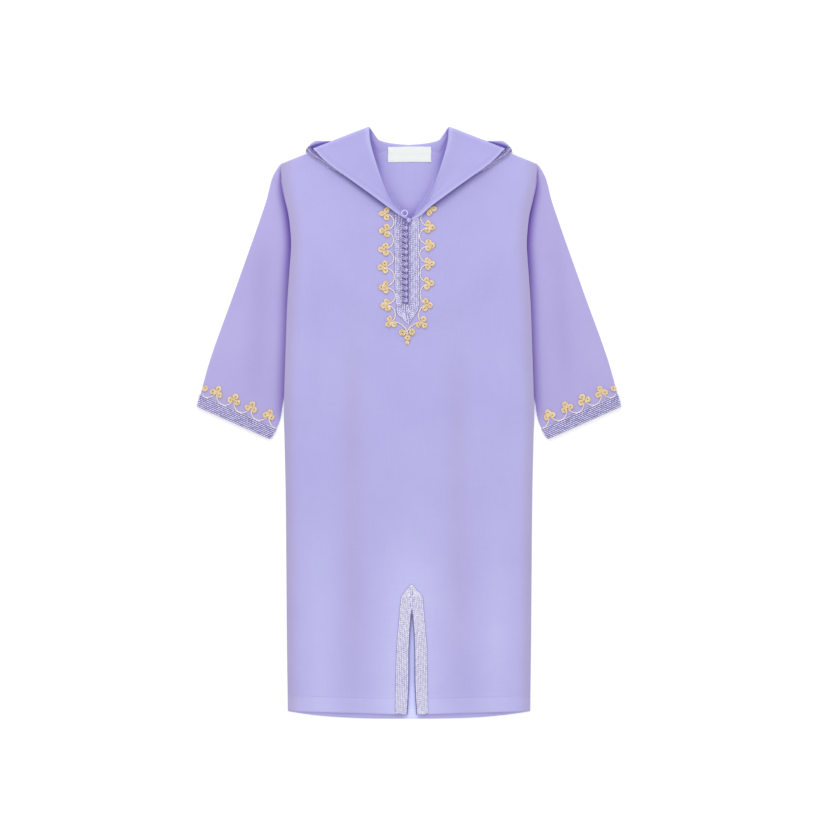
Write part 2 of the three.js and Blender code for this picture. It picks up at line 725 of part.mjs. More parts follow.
// The bag of the hood under the back panel, and the fold in which it comes over the back neck.
function hoodBack() {
  const net = new Net();
  const edge = along(bagEdge);
  const heights = new Map();
  const keep = (x, y, z) => {
    heights.set(`${x.toFixed(3)},${y.toFixed(3)}`, z);
    return { x, y };
  };
  const reach = [0, 0.3, 0.55, 0.75, 0.88, 0.95, 1];
  const thick = [1, 1, 1, 0.96, 0.86, 0.66, 0.3];
  const start = { x: 0, y: 362 };
  for (const side of [LEFT, RIGHT]) {
    const rows = [];
    for (let i = 0; i <= 10; i++) {
      const p = edge(i / 10);
      rows.push(
        reach.map((r, j) => keep(side * lerp(start.x, p.x, r), lerp(start.y, p.y, r), HOOD_BAG * thick[j])),
      );
    }
    net.patch(rows);
    const foldShares = [0, 0.22, 0.42, 0.6, 0.76, 0.89, 1];
    const foldRows = foldShares.map((share, i) => {
      const p = backFold(share);
      const stand = 4.4 * ease(26, 50, p.x);
      const x = side * p.x;
      return [
        keep(x, p.y, 3.4 + stand),
        keep(x, p.y - 0.8, 5 + stand),
        keep(x, p.y - 1.9, 5.2 + stand * 0.9),
        keep(x, p.y - 2.2, HOOD_BAG),
        keep(side * bagEdge[0].x * reach[i], bagEdge[0].y, HOOD_BAG * thick[i]),
      ];
    });
    net.patch(foldRows);
  }
  return net.sheet(() => 0, (x, y) => heights.get(`${x.toFixed(3)},${y.toFixed(3)}`));
}

add("hood_back", hoodBack(), cotton);

// The braid on the outer face of the hood's edge, where that face rolls into view at the shoulder.
function hoodBraid(side) {
  const net = new Net();
  const lean = (share) => lerp(0.9, 0, share);
  const extra = new Map();
  const normal = { x: 0.62, y: -0.785 };
  const rows = edgeBraid.map((row) =>
    [0, 0.35, 0.7, 1].map((share) => {
      const step = lerp(-row.deep, row.wide, share);
      const x = side * (row.x + normal.x * step);
      const y = row.y + normal.y * step;
      extra.set(`${x.toFixed(3)},${y.toFixed(3)}`, lean(share));
      return { x, y };
    }),
  );
  net.patch(rows);
  const base = (x, y) => frontTop(x, Math.min(y, shoulderY(x))) + SEAM + extra.get(`${x.toFixed(3)},${y.toFixed(3)}`);
  return net.sheet(base, (x, y) => base(x, y) + 1);
}

add("hood_braid_left", hoodBraid(LEFT), braid);
add("hood_braid_right", hoodBraid(RIGHT), braid);

// ---------------------------------------------------------------- what is sewn on

// The height of a piece's upper face at a place, or what otherwise says where the piece has none.
function heightOver(mesh, otherwise) {
  mesh.updateMatrixWorld(true);
  const ray = new THREE.Raycaster();
  const down = vec(0, 0, -1);
  return (x, y) => {
    ray.set(vec(x + 0.003, y + 0.002, 100), down);
    const hit = ray.intersectObject(mesh)[0];
    return hit ? hit.point.z : otherwise(x, y);
  };
}

const onFront = heightOver(front, frontTop);

function sewnLabel() {
  const net = new Net();
  const xs = [-0.5, -0.25, 0, 0.25, 0.5].map((t) => label.x + t * label.width);
  const ys = [-0.5, 0, 0.5].map((t) => label.y + t * label.height);
  net.patch(ys.map((y) => xs.map((x) => ({ x, y }))));
  const low = (x, y) => backTop(x, y) + SEAM;
  return net.sheet(low, (x, y) => low(x, y) + label.thick);
}

add("label", sewnLabel(), satin);

// A braid in two halves that meet above or below the opening between them.
function braidRound(table, ends, middle) {
  const net = new Net();
  const left = through(table, "y", "left");
  const right = through(table, "y", "right");
  for (const side of [LEFT, RIGHT])
    net.patch(
      ends.map((y) =>
        [0, 0.33, 0.66, 1].map((share) => {
          const inner = middle(y) + side * (openingHalf(y) + (openingHalf(y) > 0 ? 0.25 : 0));
          return { x: lerp(inner, side === LEFT ? left(y) : right(y), share), y };
        }),
      ),
    );
  const low = (x, y) => onFront(x, y) + SEAM;
  return net.sheet(low, (x, y) => low(x, y) + BAND);
}

const placketRows = [placket.slotTop, 250, 235, 215, 195, 178, placket.slotEnd, 151, 143];
const placketMiddle = (y) => (y > placket.slotEnd ? middleX(y) : lerp(-0.7, placket.x, ease(131.6, placket.slotEnd, y)));
add("placket_braid", braidRound(placketBraid, [277, 272.5, ...placketRows, 137, 133], placketMiddle), braid);
const slitRows = [-219, -226, -235, -243, slit.top, -272, -290, -310, -330, -354, -378, slit.bottom + 0.4];
add("slit_braid", braidRound(slitBraid, slitRows, (y) => lerp(slit.x, 2.9, ease(-250, -217, y))), braid);

// Lays flat geometry on a surface: each of its points keeps its own height above it.
function laidOn(geometry, height) {
  const at = geometry.attributes.position;
  for (let i = 0; i < at.count; i++) at.setZ(i, at.getZ(i) + height(at.getX(i), at.getY(i)) + SEAM);
  geometry.computeVertexNormals();
  return geometry;
}

// A coiled ring of gold cord, seen as a low round button with a dimple.
function coil(x, y, size = 1) {
  const profile = [
    new THREE.Vector2(0, 0),
    new THREE.Vector2(ring.radius * size, 0),
    new THREE.Vector2(ring.rim * size, ring.high),
    new THREE.Vector2(0, ring.dimple),
  ];
  return new THREE.LatheGeometry(profile, ring.sides).rotateX(Math.PI / 2).translate(x, y, 0);
}

// A low stitched knot that joins the rings of a motif.
function hub(x, y, radius) {
  return new THREE.CylinderGeometry(radius, radius, 0.9, 6).rotateX(Math.PI / 2).translate(x, y, 0.45);
}

// Three rings round a small hub; the first lies in the direction given in degrees.
function motifRings(x, y, degrees) {
  const a = THREE.MathUtils.degToRad(degrees);
  const [c, s] = [Math.cos(a), Math.sin(a)];
  const place = (forward, sideways) => coil(x + c * forward - s * sideways, y + s * forward + c * sideways);
  return [
    place(motif.apex, 0),
    place(-motif.back, motif.side),
    place(-motif.back, -motif.side),
    hub(x, y, motif.hub),
  ];
}

// One scallop of cord between two places, swinging by sag towards the direction (nx, ny).
function scallop(a, b, sag, nx, ny) {
  const bow = [0, 0.12, 0.32, 0.5, 0.68, 0.88, 1];
  const swing = [0.1, 0.6, 0.93, 1, 0.93, 0.6, 0.1];
  const points = bow.map((t, i) =>
    vec(lerp(a.x, b.x, t) + nx * sag * swing[i], lerp(a.y, b.y, t) + ny * sag * swing[i], goldCord * 0.75),
  );
  return cordAlong(points, goldCord, 4, 6);
}

function neckGarland() {
  const pieces = neckMotifs.flatMap((m, i) => (i === footMotif ? [] : motifRings(m.x, m.y, m.points)));
  pieces.push(...footRings.map((r) => coil(r.x, r.y, r.size)), hub(footHub.x, footHub.y, footHub.radius));
  for (let i = 0; i < neckMotifs.length - 1; i++) {
    const [a, b] = [neckMotifs[i], neckMotifs[i + 1]];
    const length = Math.hypot(b.x - a.x, b.y - a.y);
    // The placket lies to the left of someone who walks down one side and up the other.
    pieces.push(scallop(a, b, a.sag, -(b.y - a.y) / length, (b.x - a.x) / length));
  }
  return laidOn(joined(pieces), onFront);
}

add("neck_embroidery", neckGarland(), gold);

function cuffGarland(side) {
  const corner = { x: HALF_SPAN, y: 21 };
  const [ax, ay] = [-0.915, -0.403]; // along the cuff, from its outer corner
  const [ux, uy] = [-0.403, 0.915]; // up the sleeve
  const at = (a, up) => ({ x: side * (corner.x + ax * a + ux * up), y: corner.y + ay * a + uy * up });
  const upDegrees = THREE.MathUtils.radToDeg(Math.atan2(uy, side * ux));
  const places = [at(cuffEdgeRing.along, cuffEdgeRing.up), ...cuffMotifs.map((a) => at(a, cuffMotifUp))];
  const pieces = [coil(places[0].x, places[0].y)];
  places.slice(1).forEach((p) => pieces.push(...motifRings(p.x, p.y, upDegrees)));
  for (let i = 0; i < places.length - 1; i++)
    pieces.push(scallop(places[i], places[i + 1], cuffSag * (i ? 1 : 0.6), -side * ux, -uy));
  return laidOn(joined(pieces), heightOver(sleeves[side], () => SLEEVE));
}

add("cuff_embroidery_left", cuffGarland(LEFT), gold);
add("cuff_embroidery_right", cuffGarland(RIGHT), gold);

// Knot buttons on a cord along the edge of the opening, and the loops that close over them.
const buttonY = (i) => button.top - i * button.pitch;
const buttonRows = Array.from({ length: button.rows }, (_, i) => buttonY(i));

function knotAt(x, y) {
  return new THREE.SphereGeometry(1, 6, 4)
    .rotateX(Math.PI / 2)
    .scale(button.radius, button.radius, button.height / 2)
    .translate(x, y, button.height / 2);
}

const overBraid = (x, y) => onFront(x - 3, y) + SEAM + BAND;

function knotButtons() {
  const z = 0.8;
  const edgeCord = [
    vec(topButton.x, topButton.y, z),
    vec(placket.x * 0.8, 267, z),
    ...buttonRows.map((y) => vec(placket.x, y, z)),
  ];
  const pieces = [
    cordAlong(edgeCord, 0.7, 4, 14),
    knotAt(topButton.x, topButton.y),
    ...buttonRows.map((y) => knotAt(placket.x, y)),
  ];
  return laidOn(joined(pieces), overBraid);
}

add("knot_buttons", knotButtons(), knot);

function buttonLoops() {
  const spine = placket.x - loop.radius - 0.4;
  const z = 0.6;
  const line = [
    vec(spine, buttonY(button.rows - 1) - 3, z),
    vec(spine, 200, z),
    vec(spine, 250, z),
    vec(spine - 0.6, 270, z),
    vec(topLoop.x - 2.4, topLoop.y - topLoop.radius + 0.7, z),
  ];
  const arcs = buttonRows.map((y) => {
    const angles = [108, 150, 180, 210, 252].map(THREE.MathUtils.degToRad);
    const points = angles.map((a) => vec(placket.x + loop.radius * Math.cos(a), y + loop.radius * Math.sin(a), z));
    return cordAlong(points, loop.cord, 4, 5);
  });
  const big = new THREE.TorusGeometry(topLoop.radius, loop.cord, 5, 14).translate(topLoop.x, topLoop.y, z);
  const under = (x, y) => overBraid(Math.min(x, -6), Math.min(y, 272));
  return laidOn(joined([cordAlong(line, loop.cord, 4, 12), ...arcs, big]), under);
}

add("button_loops", buttonLoops(), braid);

export default caftan;
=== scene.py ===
import bpy
import numpy as np
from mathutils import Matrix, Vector


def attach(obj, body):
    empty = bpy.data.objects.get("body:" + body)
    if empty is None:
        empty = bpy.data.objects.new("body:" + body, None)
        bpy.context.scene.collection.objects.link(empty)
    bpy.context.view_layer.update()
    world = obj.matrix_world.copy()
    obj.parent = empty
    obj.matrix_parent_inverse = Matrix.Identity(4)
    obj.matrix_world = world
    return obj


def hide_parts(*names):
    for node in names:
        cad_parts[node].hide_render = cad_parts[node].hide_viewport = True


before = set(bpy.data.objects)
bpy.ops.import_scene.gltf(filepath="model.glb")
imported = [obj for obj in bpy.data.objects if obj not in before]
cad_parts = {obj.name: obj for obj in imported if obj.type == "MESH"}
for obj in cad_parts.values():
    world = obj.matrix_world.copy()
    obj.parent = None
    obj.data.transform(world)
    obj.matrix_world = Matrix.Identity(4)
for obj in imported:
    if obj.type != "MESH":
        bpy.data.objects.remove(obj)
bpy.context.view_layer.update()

# ---------------------------------------------------------------------------------------------------------
# The table, the light and the camera. The garment lies on a white table that glows faintly, under wide and
# even studio light with a stronger lamp beyond the hood. The camera looks straight down through a long lens.

VIEW_WIDTH = 1111.0
VIEW_CENTRE = (3.4, 14.9)
CAMERA_HEIGHT = 4200.0
SENSOR = 36

camera_data = bpy.data.cameras.new("overhead_camera")
camera_data.sensor_width = SENSOR
camera_data.lens = SENSOR * CAMERA_HEIGHT / VIEW_WIDTH
camera_data.clip_end = 50
camera = bpy.data.objects.new("overhead_camera", camera_data)
camera.location = (VIEW_CENTRE[0] / 1000, VIEW_CENTRE[1] / 1000, CAMERA_HEIGHT / 1000)
bpy.context.collection.objects.link(camera)
bpy.context.scene.camera = camera
bpy.context.scene.view_settings.view_transform = "Standard"

sky = bpy.data.worlds.new("studio")
sky.use_nodes = True
sky.node_tree.nodes["Background"].inputs["Color"].default_value = (1.0, 1.0, 1.0, 1)
sky.node_tree.nodes["Background"].inputs["Strength"].default_value = 0.85
bpy.context.scene.world = sky


def soft_box(name, place, size, power):
    """A square area light in metres and watts, turned to shine at the middle of the garment."""
    data = bpy.data.lights.new(name, "AREA")
    data.size = size
    data.energy = power
    lamp = bpy.data.objects.new(name, data)
    lamp.location = place
    lamp.rotation_euler = (-Vector(place)).to_track_quat("-Z", "Y").to_euler()
    bpy.context.collection.objects.link(lamp)


soft_box("lamp_beyond_the_hood", (-0.5, 2.6, 1.9), 0.9, 34)
soft_box("lamp_on_the_left", (-2.4, -0.3, 1.9), 1.0, 8)
soft_box("lamp_on_the_right", (2.4, -0.3, 1.9), 1.0, 8)


def new_material(name, **values):
    """A Principled material, its node tree and its shader, with plain values on the shader's own sockets; _
    stands for a space in a socket's name."""
    material = bpy.data.materials.new(name)
    material.use_nodes = True
    shader = material.node_tree.nodes["Principled BSDF"]
    for socket, value in values.items():
        shader.inputs[socket.replace("_", " ")].default_value = value
    return material, material.node_tree, shader


TABLE_REACH = 6.0
TABLE_DROP = 0.0002
table_top, _, _ = new_material(
    "table_top",
    Base_Color=(0.93, 0.93, 0.93, 1),
    Roughness=0.95,
    Emission_Color=(1, 1, 1, 1),
    Emission_Strength=0.14,
)
table_mesh = bpy.data.meshes.new("table")
table_corners = [(TABLE_REACH * i, TABLE_REACH * j, 0) for i, j in ((-1, -1), (1, -1), (1, 1), (-1, 1))]
table_mesh.from_pydata(table_corners, [], [(0, 1, 2, 3)])
table_mesh.materials.append(table_top)
table = bpy.data.objects.new("table", table_mesh)
table.location = (0, 0, -TABLE_DROP)
bpy.context.collection.objects.link(table)

# ---------------------------------------------------------------------------------------------------------
# Hood bag: the part of the hood that hangs behind the back, hidden under it, and the fold in which it comes
# over the back neck. Two folded layers of the same cotton as the body, cut slightly on the bias.

LEFT, RIGHT = -1, 1
CLOTH = 1.0
SEAM = 0.3
HOOD_BAG = 3.4
LIFT = HOOD_BAG + SEAM
HALF_LENGTH = 399.5
BACK_NECK = [(0, 374.6), (22, 376.6), (40, 381.0), (45.5, 387), (50.6, 394.4)]
BAG_EDGE = [(130, 362), (126, 322), (110, 272), (80, 218), (42, 177), (0, 160)]
BAG_MIDDLE = 362.0


def soft_step(a, b, x):
    """0 at a and 1 at b with a soft start and end: 3 t squared less 2 t cubed for the share t of the way."""
    t = np.clip((np.asarray(x, float) - a) / (b - a), 0, 1)
    return t * t * (3 - 2 * t)


def mix(a, b, t):
    return a + (b - a) * t


def through(table_rows, at):
    """A smooth curve through rows of (key, value): cubic pieces that meet in the same slopes."""
    rows = np.array(sorted(table_rows), float)
    k, v = rows[:, 0], rows[:, 1]
    slope = np.r_[v[1:], v[-1]] - np.r_[v[0], v[:-1]]
    slope = slope / (np.r_[k[1:], k[-1]] - np.r_[k[0], k[:-1]])
    at = np.asarray(at, float)
    i = np.clip(np.searchsorted(k, at, side="right") - 1, 0, len(k) - 2)
    step = k[i + 1] - k[i]
    t = np.clip((at - k[i]) / step, 0, 1)
    from_here = (2 * t**3 - 3 * t**2 + 1) * v[i] + (t**3 - 2 * t**2 + t) * step * slope[i]
    return from_here + (3 * t**2 - 2 * t**3) * v[i + 1] + (t**3 - t**2) * step * slope[i + 1]


def far_along(run):
    """How far along a run of points each of them lies."""
    return np.r_[0, np.cumsum(np.linalg.norm(np.diff(run, axis=0), axis=1))]


def along(corners, share):
    """Points at shares (0 to 1) of the length of a smooth curve through corners: each coordinate is a cubic
    curve over the length of the straight run up to its corner."""
    corners = np.array(corners, float)
    run = far_along(corners)
    at = np.asarray(share, float) * run[-1]
    return np.stack([through(list(zip(run, column)), at) for column in corners.T], -1)


def grid_triangles(rows, columns, ring=False, ends=False):
    """Two triangles for each cell of a grid of points counted row by row; ring joins its last column to its
    first, and ends closes the first and last rows with a fan."""
    i, j = np.meshgrid(np.arange(rows - 1), np.arange(columns if ring else columns - 1), indexing="ij")
    a = i * columns + j
    b = i * columns + (j + 1) % columns
    c, d = b + columns, a + columns
    k = np.arange(1, columns - 1) if ends else np.arange(0)
    first = np.stack([0 * k, k + 1, k], -1)
    last = np.stack([0 * k, k, k + 1], -1) + (rows - 1) * columns
    cells = [np.stack([a, b, c], -1).reshape(-1, 3), np.stack([a, c, d], -1).reshape(-1, 3)]
    return np.concatenate([*cells, first, last])


def made_of(name, points, triangles, material, crisp=40, **marks):
    """A mesh object from points in millimetres and triangles, turned so that its volume is positive. Edges
    sharper than crisp degrees stay crisp. Each mark is a number or three for each point, for a material."""
    points = np.asarray(points, float)
    a, b, c = (points[triangles[:, i]] for i in range(3))
    if np.einsum("ij,ij->i", a, np.cross(b, c)).sum() < 0:
        triangles = triangles[:, ::-1]
    mesh = bpy.data.meshes.new(name)
    mesh.vertices.add(len(points))
    mesh.vertices.foreach_set("co", (points / 1000).astype(np.float32).ravel())
    mesh.loops.add(triangles.size)
    mesh.loops.foreach_set("vertex_index", triangles.ravel().astype(np.int32))
    mesh.polygons.add(len(triangles))
    mesh.polygons.foreach_set("loop_start", np.arange(0, triangles.size, 3, dtype=np.int32))
    mesh.polygons.foreach_set("use_smooth", np.ones(len(triangles), bool))
    for mark, values in marks.items():
        values = np.asarray(values, np.float32)
        wide = values.ndim == 2
        layer = mesh.attributes.new(mark, "FLOAT_VECTOR" if wide else "FLOAT", "POINT")
        layer.data.foreach_set("vector" if wide else "value", values.ravel())
    mesh.update(calc_edges=True)
    mesh.set_sharp_from_angle(angle=np.radians(crisp))
    mesh.materials.append(material)
    made = bpy.data.objects.new(name, mesh)
    bpy.context.collection.objects.link(made)
    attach(made, "root")
    return made


def flat_net(patches):
    """Joins grids of places on the table, each (x, y), into one net: places that meet become one, and each
    triangle runs anticlockwise."""
    places, triangles, count = [], [], 0
    for x, y in patches:
        x, y = np.broadcast_arrays(x, y)
        places.append(np.stack([x.ravel(), y.ravel()], -1))
        triangles.append(grid_triangles(*x.shape) + count)
        count += x.size
    places = np.concatenate(places)
    _, first, back = np.unique(np.round(places, 3), axis=0, return_index=True, return_inverse=True)
    triangles = back.reshape(-1)[np.concatenate(triangles)]
    places = places[first]
    a, b, c = (places[triangles[:, i]] for i in range(3))
    turn = (b - a)[:, 0] * (c - a)[:, 1] - (b - a)[:, 1] * (c - a)[:, 0]
    triangles[turn < 0] = triangles[turn < 0][:, ::-1]
    return places, triangles[np.abs(turn) > 1e-7]


def walled(net, upper, lower):
    """The points and triangles of a closed sheet on a net: heights of its upper and lower faces, and a wall
    along each edge that has a triangle on one side only."""
    places, triangles = net
    count = len(places)
    points = np.concatenate([np.c_[places, upper], np.c_[places, lower]])
    edges = np.concatenate([triangles[:, [0, 1]], triangles[:, [1, 2]], triangles[:, [2, 0]]])
    free = edges[~np.isin(edges[:, 0] * count + edges[:, 1], edges[:, 1] * count + edges[:, 0])]
    p, q = free.T
    rim = np.concatenate([np.stack([p, p + count, q + count], -1), np.stack([p, q + count, q], -1)])
    return points, np.concatenate([triangles, triangles[:, ::-1] + count, rim])


def cloth_on(name, net, top, bottom, material, **marks):
    """A closed sheet of cloth between two heights that are functions of x and y, as are the marks on its
    upper face; its underside is plain."""
    x, y = net[0].T
    points, triangles = walled(net, top(x, y), bottom(x, y))
    marks = {mark: np.r_[values(x, y), 0 * x] for mark, values in marks.items()}
    return made_of(name, points, triangles, material, **marks)


def add_node(tree, kind, given=(), **settings):
    """A shader node of a kind with its settings; given pairs its sockets with plain values or with outputs
    of other nodes."""
    node = tree.nodes.new("ShaderNode" + kind)
    for setting, value in settings.items():
        setattr(node, setting, value)
    for socket, value in dict(given).items():
        if isinstance(value, bpy.types.NodeSocket):
            tree.links.new(value, node.inputs[socket])
        else:
            node.inputs[socket].default_value = value
    return node


def node_maker(tree):
    """Short calls for a node tree: math(kind, a, b, c) gives the output of a Math node."""
    def math(kind, *given):
        return add_node(tree, "Math", enumerate(given), operation=kind).outputs[0]

    return math


def blend(tree, share, low, high):
    """Two colours mixed by a share from 0 to 1."""
    return add_node(
        tree, "Mix", {"A": (*low, 1), "B": (*high, 1), "Factor": share}, data_type="RGBA"
    ).outputs["Result"]


def add_relief(tree, shader, height, strength, distance):
    """Raises a shader's surface by a height over a distance in metres."""
    bump = add_node(tree, "Bump", {"Height": height, "Strength": strength, "Distance": distance})
    tree.links.new(bump.outputs[0], shader.inputs["Normal"])


def effect(name, numbers, outputs):
    """An empty shader node group that takes Vector and named numbers, and its two end nodes."""
    group = bpy.data.node_groups.new(name, "ShaderNodeTree")
    group.interface.new_socket(name="Vector", in_out="INPUT", socket_type="NodeSocketVector")
    for number, value in numbers.items():
        socket = group.interface.new_socket(name=number, in_out="INPUT", socket_type="NodeSocketFloat")
        socket.default_value = value
    for output in outputs:
        group.interface.new_socket(name=output, in_out="OUTPUT", socket_type="NodeSocketFloat")
    return group, group.nodes.new("NodeGroupInput").outputs, group.nodes.new("NodeGroupOutput").inputs


def plain_weave_effect():
    """Plain weave: the rounds of the threads are |sin| across x and across y, and the product of the two
    sines says which thread lies on top. Shade is slow unevenness of the dye with fine slubs in it."""
    group, given, out = effect("plain_weave", {"Pitch": 0.0006, "Slub": 0.5}, ("Height", "Shade"))
    math = node_maker(group)
    split = add_node(group, "SeparateXYZ", {0: given["Vector"]}).outputs
    turns = math("DIVIDE", np.pi, given["Pitch"])
    across = math("SINE", math("MULTIPLY", split["X"], turns))
    down = math("SINE", math("MULTIPLY", split["Y"], turns))
    on_top = math("MULTIPLY_ADD", math("MULTIPLY", across, down), 0.5, 0.5)
    warp = math("MULTIPLY", math("ABSOLUTE", across), on_top)
    weft = math("MULTIPLY", math("ABSOLUTE", down), math("SUBTRACT", 1.0, on_top))

    def cloud(stretch, scale, detail):
        squeeze = add_node(group, "Mapping", {"Scale": stretch, "Vector": given["Vector"]}).outputs[0]
        noise = add_node(group, "TexNoise", {"Scale": scale, "Detail": detail, "Vector": squeeze})
        return math("SUBTRACT", noise.outputs["Fac"], 0.5)

    slubs = math("ADD", cloud((60, 2, 60), 22, 2), cloud((2, 60, 60), 22, 2))
    slubs = math("MULTIPLY", slubs, given["Slub"])
    group.links.new(math("ADD", math("ADD", warp, weft), slubs), out["Height"])
    group.links.new(math("ADD", math("ADD", cloud((1, 1, 1), 9, 3), 0.5), slubs), out["Shade"])
    return group


plain_weave = plain_weave_effect()
THREAD_PITCH = 0.0006
# How the two marks of painted shade and painted light on the cloth change its red, green and blue.
PAINTED_SHADE_TINTS = (("shade", (-0.1, -0.12, -0.066)), ("warm", (-0.05, -0.08, -0.13)))


def cotton(name, turn=0.0, light=(0.424, 0.402, 0.716), dark=(0.398, 0.375, 0.690)):
    """Thin matt cotton: two close lilacs mixed by the dye, a fine weave turned by an angle in degrees, and a
    little fuzz at grazing angles. The first mark is painted shade: it makes the cloth deeper and bluer where
    shade falls in hollows, under edges and in gaps, and paler, as painted light, where it is below 0. The
    second mark is painted shade of a pinker tone, and painted light, paler and bluer, where it is below 0."""
    material, tree, cloth = new_material(
        name, Roughness=0.9, Sheen_Weight=0.12, Sheen_Roughness=0.6, Specular_IOR_Level=0.2
    )
    places = add_node(tree, "TexCoord").outputs["Object"]
    grain = add_node(tree, "Mapping", {"Rotation": (0, 0, np.radians(turn)), "Vector": places}).outputs[0]
    weave = add_node(
        tree, "Group", {"Pitch": THREAD_PITCH, "Slub": 0.6, "Vector": grain}, node_tree=plain_weave
    ).outputs
    spread = add_node(tree, "MapRange", {"From Min": 0.3, "From Max": 0.7, "Value": weave["Shade"]})
    tinted = blend(tree, spread.outputs[0], dark, light)
    # Each mark multiplies the colour by a tint of painted shade or painted light.
    for marked, change in PAINTED_SHADE_TINTS:
        mark = add_node(tree, "Attribute", attribute_name=marked).outputs["Fac"]
        share = add_node(tree, "VectorMath", {0: mark, 1: change, 2: (1, 1, 1)}, operation="MULTIPLY_ADD")
        factors = {0: tinted, 1: share.outputs[0]}
        tinted = add_node(tree, "VectorMath", factors, operation="MULTIPLY").outputs[0]
    tree.links.new(tinted, cloth.inputs["Base Color"])
    add_relief(tree, cloth, weave["Height"], 0.35, 0.00012)
    return material


body_cotton = cotton("body_cotton")
hood_cotton = cotton("hood_cotton", 28, (0.402, 0.382, 0.696), (0.382, 0.360, 0.674))


def bag_top(x, y):
    """Rays from the middle under the neck: two steps down near the bag's edge, where one layer ends inside
    the other, and a low swell between."""
    edge = along(BAG_EDGE, np.linspace(0, 1, 80))
    ray = np.arctan2(BAG_MIDDLE - edge[:, 1], edge[:, 0])
    far = np.hypot(edge[:, 0], BAG_MIDDLE - edge[:, 1])
    out = np.hypot(x, BAG_MIDDLE - y)
    inside = np.maximum(0, np.interp(np.arctan2(BAG_MIDDLE - y, np.abs(x) + 1e-9), ray, far) - out)
    return HOOD_BAG * (0.26 + 0.4 * soft_step(0, 4, inside) + 0.34 * soft_step(9, 15, inside))


def neck_shade(x, y):
    """Painted shade: deeper inside the neck towards the roll of the hood, most of all near the shoulders."""
    roll_x = np.interp(y, [268, 281.8, 302.3, 326, 359.1, 380, 399], [0, 11.8, 26.2, 36.6, 47.4, 52.7, 54])
    inside = np.clip(roll_x - np.abs(x), 0, 60)
    depth = mix(2.3, 4.8, soft_step(335, 368, y)) * np.exp(-inside / mix(8.5, 6.5, soft_step(340, 370, y)))
    return (depth + 0.35) * soft_step(262, 275, y)


def hood_bag():
    """The bag is a fan of rays from its middle to its edge. Above it a strip runs up to the fold at the back
    neck, where the cloth stands up in a roll: a half round over the last few millimetres, taller towards
    the wings."""
    near = np.linspace(0, 0.4, 31)
    outward = np.r_[near, np.linspace(0.46, 0.84, 7), np.linspace(0.86, 1, 12)]
    ray, reach_out = np.meshgrid(np.linspace(0, 1, 70), outward, indexing="ij")
    edge = along(BAG_EDGE, ray)
    fan_x = edge[..., 0] * reach_out
    fan_y = BAG_MIDDLE + (edge[..., 1] - BAG_MIDDLE) * reach_out
    rise = np.r_[np.linspace(0, 0.5, 4), np.linspace(0.6, 1, 14)]
    share, up = np.meshgrid(near / near[-1], rise, indexing="ij")
    fold = along(BACK_NECK, share)
    low_x = share * near[-1] * BAG_EDGE[0][0]
    strip_x = mix(low_x, fold[..., 0], up)
    strip_y = mix(BAG_MIDDLE + 0 * up, fold[..., 1], up)
    patches = []
    for side in (LEFT, RIGHT):
        patches += [(side * fan_x, fan_y), (side * strip_x, strip_y)]
    net = flat_net(patches)
    line = along(BACK_NECK, np.linspace(0, 1, 200))

    def top(x, y):
        wide = np.abs(x)
        below = np.interp(wide, line[:, 0], line[:, 1]) - y
        stand = 5.25 + 3.0 * soft_step(28, 50, wide)
        roll = stand * np.sqrt(np.clip(1 - (1 - np.clip(below / 3.4, 0, 1)) ** 2, 0.1, 1))
        to_side = soft_step(20, 44, wide)
        fall = np.clip((mix(11.5, 27, to_side) - below) / mix(2.5, 20, to_side), 0, 1)
        roll = mix(HOOD_BAG, roll, fall * fall * (3 - 2 * fall))
        return np.where(y > BAG_MIDDLE - 0.01, np.maximum(roll, 1.0), bag_top(x, y))

    # The bag's upper face carries the painted shade inside the neck.
    return cloth_on("hood_bag", net, top, lambda x, y: 0 * x + 0.02, hood_cotton, shade=neck_shade)


hood_bag_piece = hood_bag()
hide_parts("hood_back")

# ---------------------------------------------------------------------------------------------------------
# Back panel: one width of the cotton, seen through the neck opening, in the slit and as a strip below the
# front hem. Its hem is turned up and stitched, and it rides up over the hood bag and the tucked sleeves.

SIDE_SEAM = [
    (-400, 163.3), (-300, 164.6), (-100, 166.3), (-20, 168.0), (20, 168.7), (100, 166.4), (160, 164.2),
    (205, 161.2), (238, 159.0), (260, 160.0), (282, 162.6), (303, 166.9), (325, 171.6), (348.3, 173.6),
]
NECK_X, NECK_Y = 54, 396
SHOULDER_X, SHOULDER_TIP = 173.6, 348.3
SHOULDER_SLOPE = (NECK_Y - SHOULDER_TIP) / (SHOULDER_X - NECK_X)
HEM_HALF, HEM_CORNER = 163.3, -389.5
SLIT_X, SLIT_TOP, SLIT_BOTTOM = 3.9, -252.0, -394.2
BACK_STITCH_UP = 13.2  # how far the hem's stitches lie above the back's lower edge


def side_half(y):
    return through(SIDE_SEAM, y)


def shoulder_y(x):
    return NECK_Y - SHOULDER_SLOPE * (np.abs(x) - NECK_X)


def raised(x, y):
    """1 over the hood bag and over the tucked sleeves, easing to 0 away from them."""
    wide = np.abs(x)
    out = np.hypot(wide / 140, np.maximum(0, 340 - y) / 180)
    over_bag = soft_step(1.28, 1.0, out)
    over_sleeve = soft_step(112, 137, wide) * soft_step(-20, 38, y)
    return 1 - (1 - over_bag) * (1 - over_sleeve)


def edge_round(inside, radius):
    """0 at an edge and 1 at a radius inside it, as a quarter round."""
    return np.sqrt(np.clip(1 - (1 - np.clip(inside / radius, 0, 1)) ** 2, 0, 1))


def back_hem(x):
    return mix(-HALF_LENGTH, HEM_CORNER, np.clip(np.abs(x) / HEM_HALF, 0, 1) ** 3)


